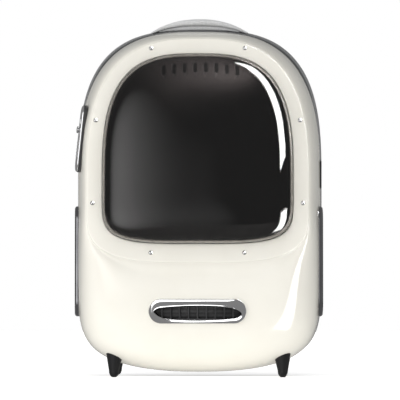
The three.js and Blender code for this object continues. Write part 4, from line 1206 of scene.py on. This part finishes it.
# The studio: a pale floor, white surroundings and soft fills on the left, above, ahead and behind.
# Tall strips low and high on the right show in the dome and the moulding as long highlights, a card
# brightens the grille's rim, and a small light in the cabin lifts the liner round its slots.
floor_mesh = bpy.data.meshes.new("studio_floor")
floor_half = 3.0
floor_mesh.from_pydata([(-floor_half, -floor_half, 0), (floor_half, -floor_half, 0),
                        (floor_half, floor_half, 0), (-floor_half, floor_half, 0)], [], [(0, 1, 2, 3)])
studio_floor = bpy.data.objects.new("studio_floor", floor_mesh)
bpy.context.collection.objects.link(studio_floor)
pale_floor = grained_finish("pale_floor", {"Emission Color": (1, 1, 1, 1), "Emission Strength": 0.5,
                                           "Specular IOR Level": 0.2}, 90.0, 2.0,
                            (0.93,) * 3, (0.95,) * 3, (0.6, 0.7))
floor_mesh.materials.append(pale_floor)
studio_floor.visible_glossy = False


def soft_light(name, at, aim, width, height, power, shown=True, fills=True, only=None):
    """An area light at a place, turned to face an aim. It may be left out of reflections, as a
    fill, or shown in them alone, as a strip, and may light the named finishes or pieces alone."""
    lamp = bpy.data.lights.new(name, "AREA")
    lamp.shape = "RECTANGLE"
    lamp.size, lamp.size_y = width, height
    lamp.energy = power
    light = bpy.data.objects.new(name, lamp)
    light.location = at
    light.rotation_euler = (Vector(aim) - Vector(at)).to_track_quat("-Z", "Y").to_euler()
    light.visible_camera = False
    light.visible_glossy = light.visible_transmission = shown
    light.visible_diffuse = fills
    if only:
        lit = bpy.data.collections.new(name + "_receivers")
        for piece in bpy.context.scene.objects:
            finishes = set(piece.data.materials.keys()) if piece.type == "MESH" else set()
            if finishes and (piece.name.startswith(only) or finishes & set(only)):
                lit.objects.link(piece)
        light.light_linking.receiver_collection = lit
    bpy.context.collection.objects.link(light)


aim = (0.0, 0.0, 0.24)
soft_light("broad_left", (-2.6, -1.9, 0.9), aim, 1.3, 2.0, 18, shown=False)
soft_light("strip_right_high", (1.55, -1.75, 2.25), aim, 1.05, 2.95, 285, fills=False,
           only=("cream_gloss", "smoked_acrylic", "dome_rivet", "latch_slide"))
soft_light("strip_low_dome", (1.7, -1.6, -0.33), aim, 1.1, 2.05, 195, fills=False, only=("smoked_acrylic",))
soft_light("strip_low_body", (2.0, -1.55, -0.9), aim, 1.3, 3.4, 115, fills=False, only=("cream_gloss",))
soft_light("card_over_grille", (-0.9, -1.7, 1.5), aim, 2.6, 2.4, 75, fills=False, only=("front_grille",))
soft_light("top_soft", (0.0, -0.5, 2.6), aim, 2.2, 1.8, 13, shown=False)
slots_aim = (0.004, parting_y + 0.098, 0.416)
soft_light("cabin_glow", (0.01, parting_y + 0.066, 0.401), slots_aim, 0.12, 0.012, 0.32, shown=False)
soft_light("front_fill", (0.0, -4.5, 1.2), aim, 2.0, 1.6, 22, shown=False)
soft_light("back_fill", (0.6, 3.6, 1.8), aim, 2.4, 1.6, 50, shown=False)

# The room is white to the eye, even for the fill, and dark in reflections but for a soft patch
# ahead on the left, which grows as the cosine between a ray and the patch's own direction
world = bpy.data.worlds.new("white_room")
bpy.context.scene.world = world
world.use_nodes = True
sky = world.node_tree
surround = sky.nodes["Background"]
surround.inputs["Color"].default_value = (1, 1, 1, 1)
rays = sky.nodes.new("ShaderNodeLightPath").outputs
toward = sky.nodes.new("ShaderNodeVectorMath")
toward.operation = "DOT_PRODUCT"
sky.links.new(sky.nodes.new("ShaderNodeTexCoord").outputs["Generated"], toward.inputs[0])
toward.inputs[1].default_value = (-0.42, -0.90, 0.1)
patch = sum_node(sky, "POWER", spread(sky, toward.outputs["Value"], 0.89, 1.0, 0.0, 1.0), 1.2)
mirrored = sum_node(sky, "MULTIPLY_ADD", patch, 2.1, 0.24)
filled = sum_node(sky, "MULTIPLY", rays["Is Diffuse Ray"], 0.40)
glow = sum_node(sky, "MAXIMUM", sum_node(sky, "MAXIMUM", mirrored, filled), rays["Is Camera Ray"])
sky.links.new(glow, surround.inputs["Strength"])
bpy.context.scene.view_settings.view_transform = "Standard"

# The camera, nearly level with the pack's middle and a degree round to the right
photo_scale = 0.001331
frame_width = 400 * photo_scale
camera_distance = 9.0
camera_turn = np.radians(1.0)
lens = bpy.data.cameras.new("photo_view")
lens.sensor_width = 36
lens.lens = 36 * camera_distance / frame_width
camera = bpy.data.objects.new("photo_view", lens)
look = Vector((0.001, 0.0, 176 * photo_scale))
camera.location = look + camera_distance * Vector((np.sin(camera_turn), -np.cos(camera_turn), 0))
camera.rotation_euler = (look - camera.location).to_track_quat("-Z", "Y").to_euler()
bpy.context.collection.objects.link(camera)
bpy.context.scene.camera = camera
